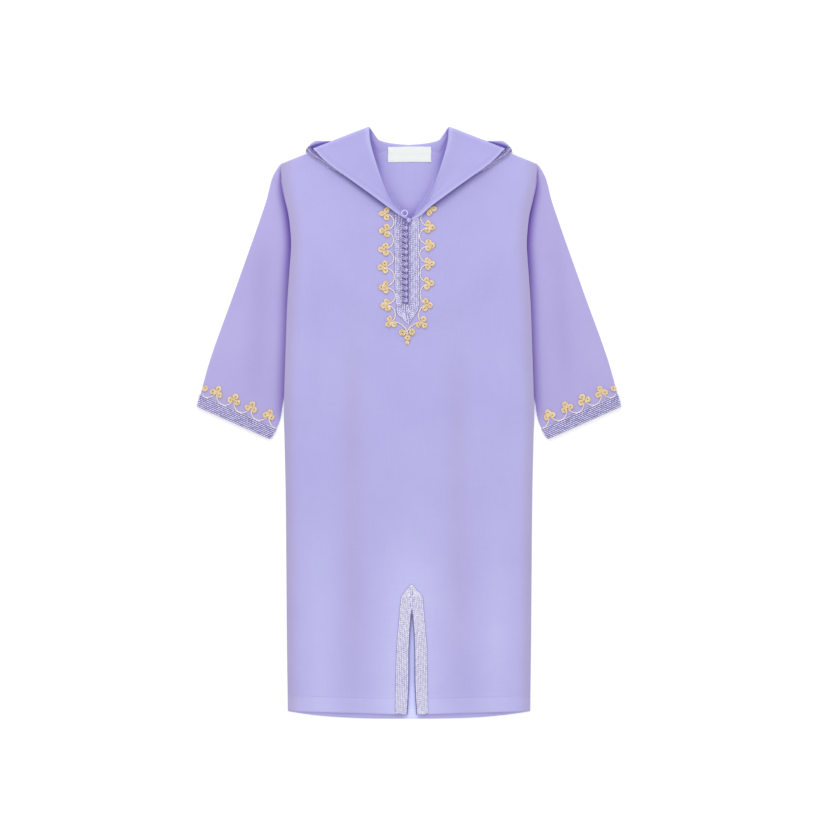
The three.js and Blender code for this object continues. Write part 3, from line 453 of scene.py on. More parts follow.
def back_top(x, y):
    """The cloth's own thickness over what lies under it, thicker where the hem is folded, round at its free
    edges, with a swell in the slit and faint ripples along the hem."""
    base = LIFT * raised(x, y) + 1.2
    into_slit = soft_step(-240, -275, y) * soft_step(-396, -370, y)
    base = base + 1.0 * np.exp(-(((x - SLIT_X) / 12) ** 2)) * into_slit
    above_hem = y - back_hem(x)
    hem_fold = 0.5 * soft_step(14.5, 13, above_hem) + 0.25 * np.sin(x / 11) * soft_step(60, 0, above_hem)
    return base + hem_fold - 0.7 * (1 - edge_round(above_hem, 1.2))


def in_slit(x, y):
    """1 where the back shows between the slit's two edges."""
    return np.exp(-(((x - SLIT_X) / 9) ** 4)) * soft_step(-250, -262, y)


def back_shade(x, y):
    """Painted shade, deeper inside the neck, towards the roll of the hood and down in the foot of the V;
    painted light, paler, in the slit and in a line along the hem's fold."""
    foot = 1.9 * soft_step(300, 272, y) * soft_step(262, 268, y)
    slit = in_slit(x, y) * (5.0 + 1.4 * np.exp(-(((y - back_hem(x) - BACK_STITCH_UP) / 2.4) ** 2)))
    hem = 0.8 * np.exp(-(((y - back_hem(x) - 8.5) / 1.6) ** 2))
    return neck_shade(x, y) + foot - slit - hem


def back_panel():
    """A grid from the hem up to the shoulders: straight rows as far as the yoke, then rows that bend up to
    the curve of the back neck and the slope of the shoulders."""
    yoke, hem_top, neck_share = 240, -387, 0.34
    share = np.linspace(-1, 1, 67)
    wide = np.abs(share)
    hem_rows = [-HALF_LENGTH, -398.7, -397.5, -395, -391]
    lower = np.r_[hem_rows, np.arange(hem_top, -372, 2.5), np.linspace(-370, yoke, 120)]
    rows_x = [share * side_half(max(y, -399)) for y in lower]
    hem_line = back_hem(share * HEM_HALF)
    rows_y = [
        np.where(y < hem_top, mix(hem_line, hem_top, (y + HALF_LENGTH) / (hem_top + HALF_LENGTH)), y)
        for y in lower
    ]
    fold = along(BACK_NECK, np.clip(wide / neck_share, 0, 1))
    neck_y = fold[:, 1] - mix(2.6, 5.2, soft_step(0.1, 0.8, wide / neck_share))
    beyond = np.clip((wide - neck_share) / 0.66, 0, 1)
    shoulder_x = mix(NECK_X, 173.3, beyond)
    inset = mix(1.7, 0.1, soft_step(128, 143, shoulder_x))
    top_x = np.where(wide <= neck_share, fold[:, 0], shoulder_x)
    top_y = np.where(wide <= neck_share, neck_y, shoulder_y(shoulder_x) - inset)
    for t in np.linspace(0, 1, 36)[1:]:
        straight = wide * side_half(mix(yoke, SHOULDER_TIP, t))
        rows_x.append(np.sign(share) * mix(straight, top_x, t**3))
        rows_y.append(mix(yoke, top_y, t))
    net = flat_net([(np.array(rows_x), np.array(rows_y))])
    # Marks of painted shade and painted light; in the slit the back is also painted paler and bluer.
    return cloth_on(
        "back_panel_cloth", net, back_top, lambda x, y: LIFT * raised(x, y) + 0.05, body_cotton,
        shade=back_shade, warm=lambda x, y: -0.9 * in_slit(x, y),
    )


back_piece = back_panel()
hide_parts("back_panel")

# ---------------------------------------------------------------------------------------------------------
# Label: a bare white woven satin label, folded under at its ends and stitched to the inside of the back neck
# all round. It carries no words.

LABEL_X, LABEL_Y, LABEL_WIDE, LABEL_HIGH = 0.9, 361.6, 58.0, 20.6
STITCH_INSET = 1.4


def frames_at(run, middles, near):
    """Places at distances along a run of points, and at each the unit vectors forward, sideways and up, from
    the places near ahead and near behind."""
    far = far_along(run)
    place, ahead, behind = (
        np.stack([np.interp(middles + d, far, c) for c in run.T], -1) for d in (0, near, -near)
    )
    forward = ahead - behind
    forward /= np.linalg.norm(forward, axis=1, keepdims=True)
    sideways = np.cross([0, 0, 1], forward)
    sideways /= np.linalg.norm(sideways, axis=1, keepdims=True)
    return place, np.stack([forward, sideways, np.cross(forward, sideways)], 1)


def copies_of(triangles, number, points):
    """The triangles of a number of copies of one thing that has so many points."""
    return (triangles[None] + np.arange(number)[:, None, None] * points).reshape(-1, 3)


def stitches(name, runs, length, gap, thick, material, rise=0.25):
    """Rows of straight stitches: each is a six-sided spindle along its run, half sunk in the cloth. A run is
    an array of points; stitches start every length + gap along it."""
    around = np.arange(6) * np.pi / 3
    along_it = np.array([-0.5, -0.34, 0, 0.34, 0.5])
    swell = np.array([0.05, 0.8, 1.0, 0.8, 0.05]) * thick / 2
    ring = np.stack([0 * around, np.cos(around), np.sin(around)], -1)
    spindle = ring[None] * swell[:, None, None]
    spindle[..., 0] += (along_it * length)[:, None]
    spindle[..., 2] += (rise - 2.4 * along_it**2)[:, None] * thick
    one = grid_triangles(len(along_it), len(around), ring=True, ends=True)
    each = len(along_it) * len(around)
    points, number = [], 0
    for run in runs:
        middles = np.arange(length * 0.7, far_along(run)[-1] - length * 0.4, length + gap)
        place, axes = frames_at(run, middles, 0.4)
        points.append((np.einsum("abk,nkc->nabc", spindle, axes) + place[:, None, None]).reshape(-1, 3))
        number += len(middles)
    return made_of(name, np.concatenate(points), copies_of(one, number, each), material, crisp=60)


def object_noise(tree, scale, detail=2.0):
    """A fine noise from 0 to 1 over the piece's own places."""
    places = add_node(tree, "TexCoord").outputs["Object"]
    return add_node(tree, "TexNoise", {"Scale": scale, "Detail": detail, "Vector": places}).outputs["Fac"]


def thread(name, colour):
    """Spun sewing thread: one colour broken by a fine noise."""
    material, tree, spun = new_material(name, Roughness=0.55, Sheen_Weight=0.2)
    tinted = blend(tree, object_noise(tree, 900), [0.8 * c for c in colour], colour)
    tree.links.new(tinted, spun.inputs["Base Color"])
    return material


def satin_material():
    """White satin: long floats along the label, so its fine ribs run up it and catch the light, with a
    little grey where they dip, which is painted shade."""
    material, tree, satin = new_material("label_satin", Roughness=0.42, Sheen_Weight=0.15)
    places = add_node(tree, "TexCoord").outputs["Object"]
    ribs = add_node(tree, "TexWave", {"Scale": 520, "Distortion": 0.6, "Vector": places}).outputs["Fac"]
    # Painted shade: the colour is greyer in the dips of the ribs.
    tinted = blend(tree, ribs, (0.70, 0.735, 0.74), (0.765, 0.785, 0.785))
    tree.links.new(tinted, satin.inputs["Base Color"])
    add_relief(tree, satin, ribs, 0.3, 0.0001)
    return material


def sewn_label():
    """A rectangle whose top swells between its stitched edges and is a little thicker at its folded ends."""
    u, v = np.meshgrid(np.linspace(-0.5, 0.5, 61), np.linspace(-0.5, 0.5, 31), indexing="ij")
    x = LABEL_X + u * LABEL_WIDE + 0.2 * np.sin(9 * v)
    y = LABEL_Y + v * LABEL_HIGH + 0.25 * np.sin(5 * u + 1)

    def top(x, y):
        inside = np.minimum(LABEL_WIDE / 2 - np.abs(x - LABEL_X), LABEL_HIGH / 2 - np.abs(y - LABEL_Y))
        ends = 0.25 * soft_step(6, 5, LABEL_WIDE / 2 - np.abs(x - LABEL_X))
        stitched = -0.2 * np.exp(-(((inside - STITCH_INSET) / 0.6) ** 2))
        ripple = 0.12 * np.sin(x / 3.1) * np.cos(y / 4.3)
        lift = back_top(x, y) + 0.3 * soft_step(360, 364, y)
        return lift + 0.55 + ends + stitched + ripple + 0.3 * edge_round(inside, 2.5)

    satin = satin_material()
    return cloth_on("label_satin", flat_net([(x, y)]), top, lambda x, y: back_top(x, y) + 0.08, satin), top


label_piece, label_top = sewn_label()
label_in = np.array([LABEL_WIDE / 2 - STITCH_INSET, LABEL_HIGH / 2 - STITCH_INSET])
label_corners = np.array([(-1, -1), (1, -1), (1, 1), (-1, 1), (-1, -1)]) * label_in + [LABEL_X, LABEL_Y]
share = np.linspace(0, 1, 30)[:, None]
label_sides = [mix(a, b, share) for a, b in zip(label_corners[:-1], label_corners[1:])]
label_runs = [np.c_[side, label_top(*side.T) + 0.02] for side in label_sides]
white_thread = thread("white_thread", (0.80, 0.81, 0.82))
label_stitches = stitches("label_stitches", label_runs, 1.9, 0.7, 0.34, white_thread)
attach(label_stitches, "root")
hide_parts("label")

back_hem_x = np.linspace(-160, 160, 200)
back_hem_y = back_hem(back_hem_x) + BACK_STITCH_UP
lilac_thread = thread("lilac_thread", (0.42, 0.39, 0.70))
back_hem_run = np.c_[back_hem_x, back_hem_y, back_top(back_hem_x, back_hem_y)]
back_stitches = stitches("back_hem_stitches", [back_hem_run], 2.2, 0.9, 0.3, lilac_thread)

# ---------------------------------------------------------------------------------------------------------
# Sleeves: each is one piece of the cotton sewn into a tube and laid flat, wider at the armhole than at the
# cuff. Its inner part is tucked under the side of the body, and a soft crease runs down its middle.

CUFF_OUTER, CUFF_INNER, CUFF_BAND = (285.6, 21.6), (188.0, -22.0), 16.5
CUFF_SQUARE = 30  # so far up from the cuff, both folds run square to it
SLEEVE_HEIGHT, BAND = 3.2, 0.9
UNDERARM = (142.0, 217.0)
TUCK_TOP = 311  # above this the sleeve lies beside the body, below it a part is tucked under
SLEEVE_OUTER = [
    (174.6, 347.6), (180.6, 338.2), (185.4, 327.4), (192.2, 300.4), (201.2, 273.4), (210.6, 246.4),
    (239.4, 165.4), (268.4, 84.4), CUFF_OUTER,
]
SLEEVE_INNER = [
    UNDERARM, (142.5, 170), (148, 120), (158, 75), (169.4, 32), (174.2, 3.4), (180.6, -10.1), CUFF_INNER,
]
OUTER_LENGTH = np.hypot(SLEEVE_OUTER[0][0] - CUFF_OUTER[0], SLEEVE_OUTER[0][1] - CUFF_OUTER[1])
INNER_LENGTH = np.hypot(UNDERARM[0] - CUFF_INNER[0], UNDERARM[1] - CUFF_INNER[1])


def crease(x, y, start, end, width, height):
    """A soft ridge, or a trough where height is negative: height times exp(-(distance to the line from start
    to end over width) squared), dying away towards both ends."""
    a, b = np.array(start, float), np.array(end, float)
    line = b - a
    share = ((x - a[0]) * line[0] + (y - a[1]) * line[1]) / (line @ line)
    t = np.clip(share, 0, 1)
    away = np.hypot(x - a[0] - t * line[0], y - a[1] - t * line[1])
    fade = soft_step(-0.12, 0.3, share) * soft_step(1.12, 0.7, share)
    return height * fade * np.exp(-((away / width) ** 2))


def sleeve_plan(distance, v):
    """A place on the flattened sleeve, seen from above: its distance up from the cuff, and v from the outer
    fold (0) to the inner one (1). Beside the shoulder it keeps outside the body's edge."""
    distance, v = np.broadcast_arrays(np.asarray(distance, float), np.asarray(v, float))
    way = (distance - CUFF_SQUARE) / (OUTER_LENGTH - CUFF_SQUARE)
    far_in = np.where(distance < CUFF_SQUARE, distance, mix(CUFF_SQUARE, INNER_LENGTH, way))
    outer = along(SLEEVE_OUTER, 1 - distance / OUTER_LENGTH)
    inner = along(SLEEVE_INNER, 1 - far_in / INNER_LENGTH)
    place = mix(outer, inner, v[..., None])
    x, y = place[..., 0], place[..., 1]
    beside = side_half(np.minimum(y, SHOULDER_TIP)) + mix(0.9, -0.2, soft_step(322, 338, y))
    return np.stack([mix(np.maximum(beside, x), x, soft_step(TUCK_TOP - 4, TUCK_TOP - 40, y)), y], -1)


def sleeve_bottom(distance):
    return (BAND + SEAM) * soft_step(34, CUFF_BAND + 8, distance)


# Start, end, width and height of each crease.
RIGHT_CREASES = [
    ((197, 262), (214, 40), 13, -0.75),
    ((210, 236), (232, 96), 12, 0.35),
    ((182, 300), (192, 240), 6, -0.35),
    ((176, 150), (196, 30), 8, 0.3),
    ((238, 120), (252, 60), 7, -0.2),
    ((196, 44), (206, 8), 5, 0.25),
]
LEFT_CREASES = [
    ((196, 255), (207, 30), 14, -0.8),
    ((206, 228), (236, 84), 11, 0.3),
    ((181, 296), (188, 236), 7, -0.3),
    ((178, 140), (190, 40), 7, 0.35),
    ((242, 104), (262, 50), 6, -0.2),
]
SLEEVE_CREASES = {LEFT: LEFT_CREASES, RIGHT: RIGHT_CREASES}


def sleeve_top(distance, v, side):
    """The body's height at the shoulder falling to a low dome, with a valley beside the body's edge where the
    body presses on it, its creases, and a slight rise at the cuff where the braid goes round."""
    start = OUTER_LENGTH - distance
    place = sleeve_plan(distance, v)
    x, y = place[..., 0], place[..., 1]
    crest = mix(0.62, 0.98, soft_step(150, 40, distance))
    q = np.minimum(1, v / crest)
    dome = 1.5 * 4 * q * (1 - q) * soft_step(0, 30, start) * soft_step(0, 60, distance)
    shoulder = 2.9 * soft_step(42, 4, start) * soft_step(TUCK_TOP + 6, TUCK_TOP + 24, y)
    beside_body = np.exp(-((np.maximum(0, x - side_half(y)) / 11) ** 2))
    valley = 1.5 * beside_body * soft_step(335, 290, y) * soft_step(-30, 30, y)
    folds = sum(crease(x, y, *row) for row in SLEEVE_CREASES[side]) * soft_step(20, 45, distance)
    return SLEEVE_HEIGHT + dome + shoulder + folds - valley + 0.8 * soft_step(60, 20, distance)


FOLD_STEPS = np.array([0, 0.15, 0.5, 1.1, 2.0, 3.2])  # how far from a fold the points beside it lie
SLEEVE_COLUMNS = 32
FOLD_RADIUS = 2.6


def sleeve_rings(distances, grow, side):
    """Rings round the flattened tube, one for each distance from the cuff. Upper and lower faces meet at the
    two folds in half rounds; grow is how far the ring lies outside the cloth's own outer face."""
    distances = np.asarray(distances, float)[:, None]
    a, b = sleeve_plan(distances, 0.0), sleeve_plan(distances, 1.0)
    width = np.linalg.norm(a - b, axis=-1)
    offsets = FOLD_STEPS / width
    inside = mix(offsets[:, -1:], 1 - offsets[:, -1:], np.linspace(0, 1, SLEEVE_COLUMNS)[None, 1:-1])
    v = np.concatenate([offsets, inside, 1 - offsets[:, ::-1]], 1)
    distances = np.broadcast_to(distances, v.shape)
    out = (a - b) / width[..., None]
    low, high = sleeve_bottom(distances), sleeve_top(distances, v, side)
    middle = (low + SLEEVE_HEIGHT) / 2
    from_fold = np.minimum(v, 1 - v) * width
    full = edge_round(from_fold, FOLD_RADIUS)
    stretch = (1 - 2 * v) * grow
    flat = sleeve_plan(distances, v) + out * (stretch * (1 - soft_step(0, 3, from_fold)))[..., None]
    upper = np.concatenate([flat, (middle + (high + grow - middle) * full)[..., None]], -1)
    lower = np.concatenate([flat, (middle + (low - grow - middle) * full)[..., None]], -1)
    return np.concatenate([upper, lower[:, ::-1][:, 1:-1]], 1) * [side, 1, 1]


def tube_wall(outer, inner):
    """Points and triangles of a wall between two sets of rings, closed at both ends."""
    rows, columns = outer.shape[:2]
    count = rows * columns
    skin = grid_triangles(rows, columns, ring=True)
    j = np.arange(columns)
    k = (j + 1) % columns
    start = [np.stack([k, j, j + count], -1), np.stack([k, j + count, k + count], -1)]
    j, k = j + (rows - 1) * columns, k + (rows - 1) * columns
    end = [np.stack([j, k, k + count], -1), np.stack([j, k + count, j + count], -1)]
    points = np.concatenate([outer.reshape(-1, 3), inner.reshape(-1, 3)])
    return points, np.concatenate([skin, skin[:, ::-1] + count, *start, *end])


def tube_shade(points, side):
    """Painted shade: deeper colour in the middle crease and beside the body's edge, where the body shades the
    sleeve, and a little deeper towards the cuff.
    """
    x, y = side * points[:, 0], points[:, 1]
    hollow = -crease(x, y, *SLEEVE_CREASES[side][0])
    gap = np.maximum(0, x - side_half(y))
    wide = mix(2.0, 8.6, soft_step(341, 304, y))
    core = mix(3.3, 5.5, soft_step(120, 280, y)) * np.exp(-((gap / wide) ** 2.4))
    # Painted shadow of the body's edge on the sleeve.
    painted_shadow_beside_body = (core + 1.0 * np.exp(-((gap / 15) ** 1.5)) * soft_step(320, 280, y)) * soft_step(343, 337, y)
    return 0.9 * hollow + 0.25 * soft_step(130, 0, y) + painted_shadow_beside_body * soft_step(-12, 20, y)


sleeve_cotton = cotton("sleeve_cotton", 21, (0.420, 0.380, 0.680), (0.398, 0.358, 0.656))
sleeve_rows = np.r_[
    np.arange(0, 40, 2.5),
    np.linspace(40, OUTER_LENGTH - 20, 78),
    np.linspace(OUTER_LENGTH - 18, OUTER_LENGTH, 10),
]
SLEEVE_WALL = 0.9
for side, word in ((LEFT, "left"), (RIGHT, "right")):
    points, triangles = tube_wall(
        sleeve_rings(sleeve_rows, 0, side), sleeve_rings(sleeve_rows, -SLEEVE_WALL, side)
    )
    sleeve = made_of(f"sleeve_{word}_cloth", points, triangles, sleeve_cotton, shade=tube_shade(points, side))
    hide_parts(f"sleeve_{word}")

# ---------------------------------------------------------------------------------------------------------
# Cuffs: a band of silvery lilac chain stitch worked in close rows right round each sleeve end, and above it
# trefoils of coiled gold cord joined by paler cord in scallops.


def braid_material(name, pale, deep):
    """Yarn twisted from a pale and a deep strand: the mark light says which of them each link shows, with a
    fine noise that also gives the relief, and a dull silky shine. The mark holds painted light on the crown
    of each link and painted shade at its ends."""
    material, tree, yarn = new_material(name, Roughness=0.42, Sheen_Weight=0.25, Specular_IOR_Level=0.55)
    noise = object_noise(tree, 900, 1)
    mark = add_node(tree, "Attribute", attribute_name="light").outputs["Fac"]
    lowered = node_maker(tree)("SUBTRACT", mark, 0.3)
    shown = add_node(tree, "Math", {0: noise, 1: 0.6, 2: lowered}, operation="MULTIPLY_ADD", use_clamp=True)
    tree.links.new(blend(tree, shown.outputs[0], deep, pale), yarn.inputs["Base Color"])
    add_relief(tree, yarn, noise, 0.4, 0.0002)
    return material


braid_yarn = braid_material("braid_yarn", (0.69, 0.66, 0.94), (0.23, 0.195, 0.44))
# The braid's ground, much darker than the cloth so that the gaps between links read dark: partly the ground's
# own colour and partly painted shade.
braid_ground_in_painted_shade = cotton("braid_ground_in_painted_shade", 0, (0.20, 0.17, 0.38), (0.15, 0.125, 0.31))
OFF_TABLE = 0.02
# Along a strand of a link: shares of the way, from its middle, and how thick it is there.
STRAND_AT = np.array([-0.62, -0.3, 0.15, 0.62])
STRAND_SWELL = np.array([0.12, 1.0, 0.9, 0.15])
STRAND_SIDES = 5


def chain_rows(
    name, runs, wide, material, pitch, thick=0.95, high=0.75, dim=0.1, spread=0.16, painted_dimming=lambda x, y: 0 * x
):
    """Rows of chain stitch. Each link is two fat strands that start side by side and meet at the next link,
    so a row reads as a line of V shapes. The mark light is painted light and shade: 1 on the crown of a link
    and dim at its ends; it is also uneven from link to link by spread (sin(17 i) + 0.6 sin(7.3 i)) for
    link i. Each row starts elsewhere. Where the last argument, a function of x and y, is above 0 the rows
    are that much dimmer, as painted shade. None sinks into the table."""
    around = np.arange(STRAND_SIDES) * 2 * np.pi / STRAND_SIDES + 0.3
    t, swell = STRAND_AT, STRAND_SWELL
    points, tones, strands = [], [], 0
    for row, run in enumerate(runs):
        length = far_along(run)[-1]
        links = max(1, int(round(length / pitch)))
        step = length / links
        i = np.arange(links)
        uneven = spread * (np.sin(17.0 * i + 5.3 * row) + 0.6 * np.sin(7.3 * i + 2.1 * row))
        middles = (i + 0.5 + 0.45 * np.sin(2.4 * row + 0.9 * np.sin(0.37 * i))) * step
        place, axes = frames_at(run, np.clip(middles, 0.4 * step, length - 0.4 * step), 0.3)
        # Painted light on each link's crown and painted shade at its ends, dimmed further as painted shade
        # where the last argument says.
        tone = np.array([dim, 0.95, 0.85, dim])[None] + uneven[:, None] - painted_dimming(*place[:, :2].T)[:, None]
        for hand in (-1, 1):
            strand = np.zeros((len(t), STRAND_SIDES, 3))
            strand[..., 0] = (t * step * 1.15)[:, None]
            strand[..., 1] = (hand * wide * (0.27 - 0.26 * t))[:, None]
            strand[..., 1] += np.cos(around) * (swell * thick / 2)[:, None]
            strand[..., 2] = (high * 0.38 * (1 - 0.6 * t))[:, None]
            strand[..., 2] += np.sin(around) * (swell * high / 2)[:, None]
            points.append((np.einsum("abk,nkc->nabc", strand, axes) + place[:, None, None]).reshape(-1, 3))
            tones.append(np.repeat(tone.ravel(), STRAND_SIDES))
            strands += links
    points = np.concatenate(points)
    points[:, 2] = np.maximum(points[:, 2], OFF_TABLE)
    one = grid_triangles(len(t), STRAND_SIDES, ring=True, ends=True)
    triangles = copies_of(one, strands, len(t) * STRAND_SIDES)
    return made_of(name, points, triangles, material, crisp=70, light=np.concatenate(tones))


def cords(name, paths, radii, material, sides=6):
    """Round cords along paths: at each point of a path a ring of sides points, square to the path, and each
    end drawn to a point. The mark twist holds how far along in millimetres, and the cosine and sine round
    the cord."""
    around = np.arange(sides) * 2 * np.pi / sides
    points, triangles, twists, count = [], [], [], 0
    for path, radius in zip(paths, np.broadcast_to(radii, len(paths))):
        forward = np.gradient(path, axis=0)
        forward /= np.linalg.norm(forward, axis=1, keepdims=True)
        sideways = np.cross([0, 0, 1.0], forward)
        sideways /= np.maximum(np.linalg.norm(sideways, axis=1, keepdims=True), 1e-9)
        up = np.cross(forward, sideways)
        taper = np.ones(len(path)) * radius
        taper[[0, -1]] *= 0.05
        ring = np.cos(around)[None, :, None] * sideways[:, None] + np.sin(around)[None, :, None] * up[:, None]
        points.append((path[:, None] + ring * taper[:, None, None]).reshape(-1, 3))
        twist = np.broadcast_arrays(far_along(path)[:, None], np.cos(around)[None], np.sin(around)[None])
        twists.append(np.stack(twist, -1).reshape(-1, 3))
        triangles.append(grid_triangles(len(path), sides, ring=True, ends=True) + count)
        count += len(path) * sides
    twist = np.concatenate(twists)
    return made_of(name, np.concatenate(points), np.concatenate(triangles), material, crisp=80, twist=twist)


def twist_effect():
    """The lay of a twisted cord: |sin(turns per millimetre times the way along, plus the angle round)|."""
    group, given, out = effect("cord_twist", {"Turns": 2.4}, ("Height",))
    math = node_maker(group)
    split = add_node(group, "SeparateXYZ", {0: given["Vector"]}).outputs
    run = math("MULTIPLY", split["X"], given["Turns"])
    over = math("MULTIPLY", math("SINE", run), split["Y"])
    lay = math("ADD", over, math("MULTIPLY", math("COSINE", run), split["Z"]))
    group.links.new(math("ABSOLUTE", lay), out["Height"])
    return group


cord_twist = twist_effect()


def cord_material(name, high, low, roughness, turns=2.4, rise=0.0005):
    """Twisted cord: a painted highlight on the crowns of its strands and painted shade between them, lighter
    and deeper as the twist mark says, and rubbed in patches."""
    material, tree, cord = new_material(name, Roughness=roughness)
    mark = add_node(tree, "Attribute", attribute_name="twist").outputs["Vector"]
    lay = add_node(tree, "Group", {"Turns": turns, "Vector": mark}, node_tree=cord_twist).outputs["Height"]
    worn = object_noise(tree, 420, 1)
    lit = add_node(tree, "Math", {0: worn, 1: 3.2, 2: -1.1}, operation="MULTIPLY_ADD", use_clamp=True)
    crown = add_node(tree, "Mix", {"Factor": lit.outputs[0], "A": 0.12, "B": lay})
    # The colour follows the twist: painted highlight on the crowns, painted shade between them.
    tree.links.new(blend(tree, crown.outputs[0], low, high), cord.inputs["Base Color"])
    add_relief(tree, cord, lay, 0.5, rise)
    return material


gold_cord = cord_material("gold_cord", (1.0, 0.93, 0.68), (0.66, 0.42, 0.17), 0.36)
pale_cord = cord_material("pale_gold_cord", (0.95, 0.89, 0.80), (0.74, 0.64, 0.53), 0.42)
COIL_RADIUS, COIL_CORD, SCALLOP_CORD = 4.95, 0.98, 0.85
TREFOIL_APEX, TREFOIL_SIDE, TREFOIL_BACK = 4.2, 4.7, 1.9


def coil(x, y, turn, size=1.0):
    """A flat coil of cord: two and a bit turns out from its middle, lying highest halfway out."""
    t = np.linspace(0, 1, 30)
    angle = turn + 2 * np.pi * 2.15 * t
    out = size * mix(0.35, COIL_RADIUS - COIL_CORD, t**0.85)
    z = COIL_CORD * (0.85 + 0.5 * np.sin(np.pi * t**1.2) - 0.25 * t)
    return np.stack([x + out * np.cos(angle), y + out * np.sin(angle), z], -1)


def trefoil(x, y, degrees, spin=0.0):
    """Three coils round a place and a small one over their middle; the first lies towards the angle given."""
    a = np.radians(degrees)
    back, side = -TREFOIL_BACK, TREFOIL_SIDE
    places = [(TREFOIL_APEX, 0, 1), (back, side, 1), (back, -side, 1), (0, 0, 0.3)]
    return [
        coil(x + np.cos(a) * f - np.sin(a) * s, y + np.sin(a) * f + np.cos(a) * s, spin + a + 2.1 * i, size)
        for i, (f, s, size) in enumerate(places)
    ]


def scallop(a, b, sag, towards):
    """One swing of cord from a to b: a flattened arch, sag deep, towards a direction."""
    t = np.linspace(0, 1, 25)
    swing = sag * (0.1 + 0.9 * (1 - np.abs(2 * t - 1) ** 2.6))
    flat = mix(np.array(a), np.array(b), t[:, None]) + np.array(towards) * swing[:, None]
    return np.c_[flat, np.full(25, 0.45)]


def sew_down(paths, height, lift=0.0):
    """Paths with heights above the cloth become paths in space: the cloth's height is added at each point."""
    return [np.c_[p[:, :2], p[:, 2] + height(p[:, 0], p[:, 1]) + lift] for p in paths]


CUFF_CORNER = (287, 21)
CUFF_COS, CUFF_SIN = 0.915, 0.403
CUFF_LONG = 107


def cuff_frame(side):
    """A place on the cuff from its distance along, from the outer corner, and its distance up the sleeve."""
    return lambda a, up: (
        side * (CUFF_CORNER[0] - CUFF_COS * a - CUFF_SIN * up),
        CUFF_CORNER[1] - CUFF_SIN * a + CUFF_COS * up,
    )


def sleeve_height(side):
    """The sleeve's upper height over places on the cuff, read back from distance up and share across."""
    def height(x, y):
        out, over = side * x - CUFF_CORNER[0], y - CUFF_CORNER[1]
        up = -CUFF_SIN * out + CUFF_COS * over
        a = -CUFF_COS * out - CUFF_SIN * over
        return sleeve_top(np.maximum(up, 0), np.clip(a / CUFF_LONG, 0.0, 1.0), side)

    return height


CUFF_TREFOILS = [17.6, 43.3, 68.4, 94.2]
TREFOIL_UP = 29.7
CUFF_SWINGS = [7.0, 12.6, 12.6, 12.6, 5.0]
CHAIN_ROWS_ON_CUFF = np.linspace(1.3, 15.7, 7)
for side, word in ((LEFT, "left"), (RIGHT, "right")):
    band_rows = np.linspace(0, CUFF_BAND, 9)
    points, triangles = tube_wall(sleeve_rings(band_rows, 0.62, side), sleeve_rings(band_rows, 0.12, side))
    band = made_of(f"cuff_{word}_ground", points, triangles, braid_ground_in_painted_shade)
    rings = sleeve_rings(CHAIN_ROWS_ON_CUFF, 0.66, side)
    upper = rings.shape[1] // 2 + 1
    runs = [ring[:upper] if i % 2 else ring[:upper][::-1] for i, ring in enumerate(rings)]
    chains = chain_rows(
        f"cuff_{word}_chains", runs, 0.3, braid_yarn, pitch=3.9, thick=1.15, dim=0.7, spread=0.3
    )
    under = [np.concatenate([ring[upper - 1:], ring[:1]])[::-1] for ring in rings]
    under = [np.c_[u[:, :2], np.maximum(u[:, 2] - 0.5, 0.06)] for u in under]
    back_chains = chain_rows(
        f"cuff_{word}_chains_behind", under, 1.3, braid_yarn, pitch=3.1, high=0.4, dim=0.45
    )
    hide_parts(f"cuff_braid_{word}")
    place, height = cuff_frame(side), sleeve_height(side)
    up_angle = np.degrees(np.arctan2(CUFF_COS, -CUFF_SIN * side))
    centres = [place(a, TREFOIL_UP) for a in CUFF_TREFOILS]
    coils = [c for i, p in enumerate(centres) for c in trefoil(*p, up_angle, 1.3 * i)]
    coils.append(coil(*place(0.5, 27.6), 0.4))
    gold = cords(f"cuff_{word}_coils", sew_down(coils, height), COIL_CORD, gold_cord)
    hung = [place(0.8, 20.5)] + centres + [place(109, 18.6)]
    down = (CUFF_SIN * side, -CUFF_COS)
    swings = [scallop(a, b, deep, down) for a, b, deep in zip(hung[:-1], hung[1:], CUFF_SWINGS)]
    pale = cords(f"cuff_{word}_scallops", sew_down(swings, height), SCALLOP_CORD, pale_cord, 5)
    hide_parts(f"cuff_embroidery_{word}")

# ---------------------------------------------------------------------------------------------------------
# Front panel: one width of the cotton, open down the neck under the placket and in the slit. It swells a
# little over the back, its sides roll down to the side seams, and its hem is turned up and stitched.

PLACKET_X, SLOT_TOP, SLOT_END, SLOT_HALF = -3.6, 268.0, 160.0, 0.6
FRONT_STITCH_UP = 21.4
NECK_EDGE = [
    (SLOT_TOP, SLOT_HALF), (274, 0.9), (279, 3.4), (285, 10), (296, 21.5), (310, 31), (325, 38.7), (343, 45),
    (361, 51), (380, 55.8), (HALF_LENGTH, 57.5),
]
# Heights of the rows of the front, from the hem up: at the centre and at the side.
FRONT_ROWS = [
    (SLIT_BOTTOM, HEM_CORNER), (-378, -374), (-330, -326), (-290, -285), (SLIT_TOP, -248), (-180, -176),
    (-100, -96), (-40, -36), (-5, -12), (20, 13), (50, 40), (85, 75), (120, 110), (SLOT_END, 150), (195, 182),
    (235, 212), (SLOT_TOP, 238), (274, 251), (279, 264), (285, 276), (296, 287), (310, 298), (325, 308),
    (343, 318), (361, 328), (379, 338), (393, 348.2),
]
# The free edge of each hood wing, where it lies on the front.
HOOD_CORNER = (130.3, 369.8)
HOOD_EDGE = [
    (0.9, 272.8), (8.5, 275.4), (17, 280.6), (26, 288.2), (52.7, 307.9), (80, 327.6), (111.4, 350.6),
    HOOD_CORNER,
]
FOOT_SHIFT = 2.2
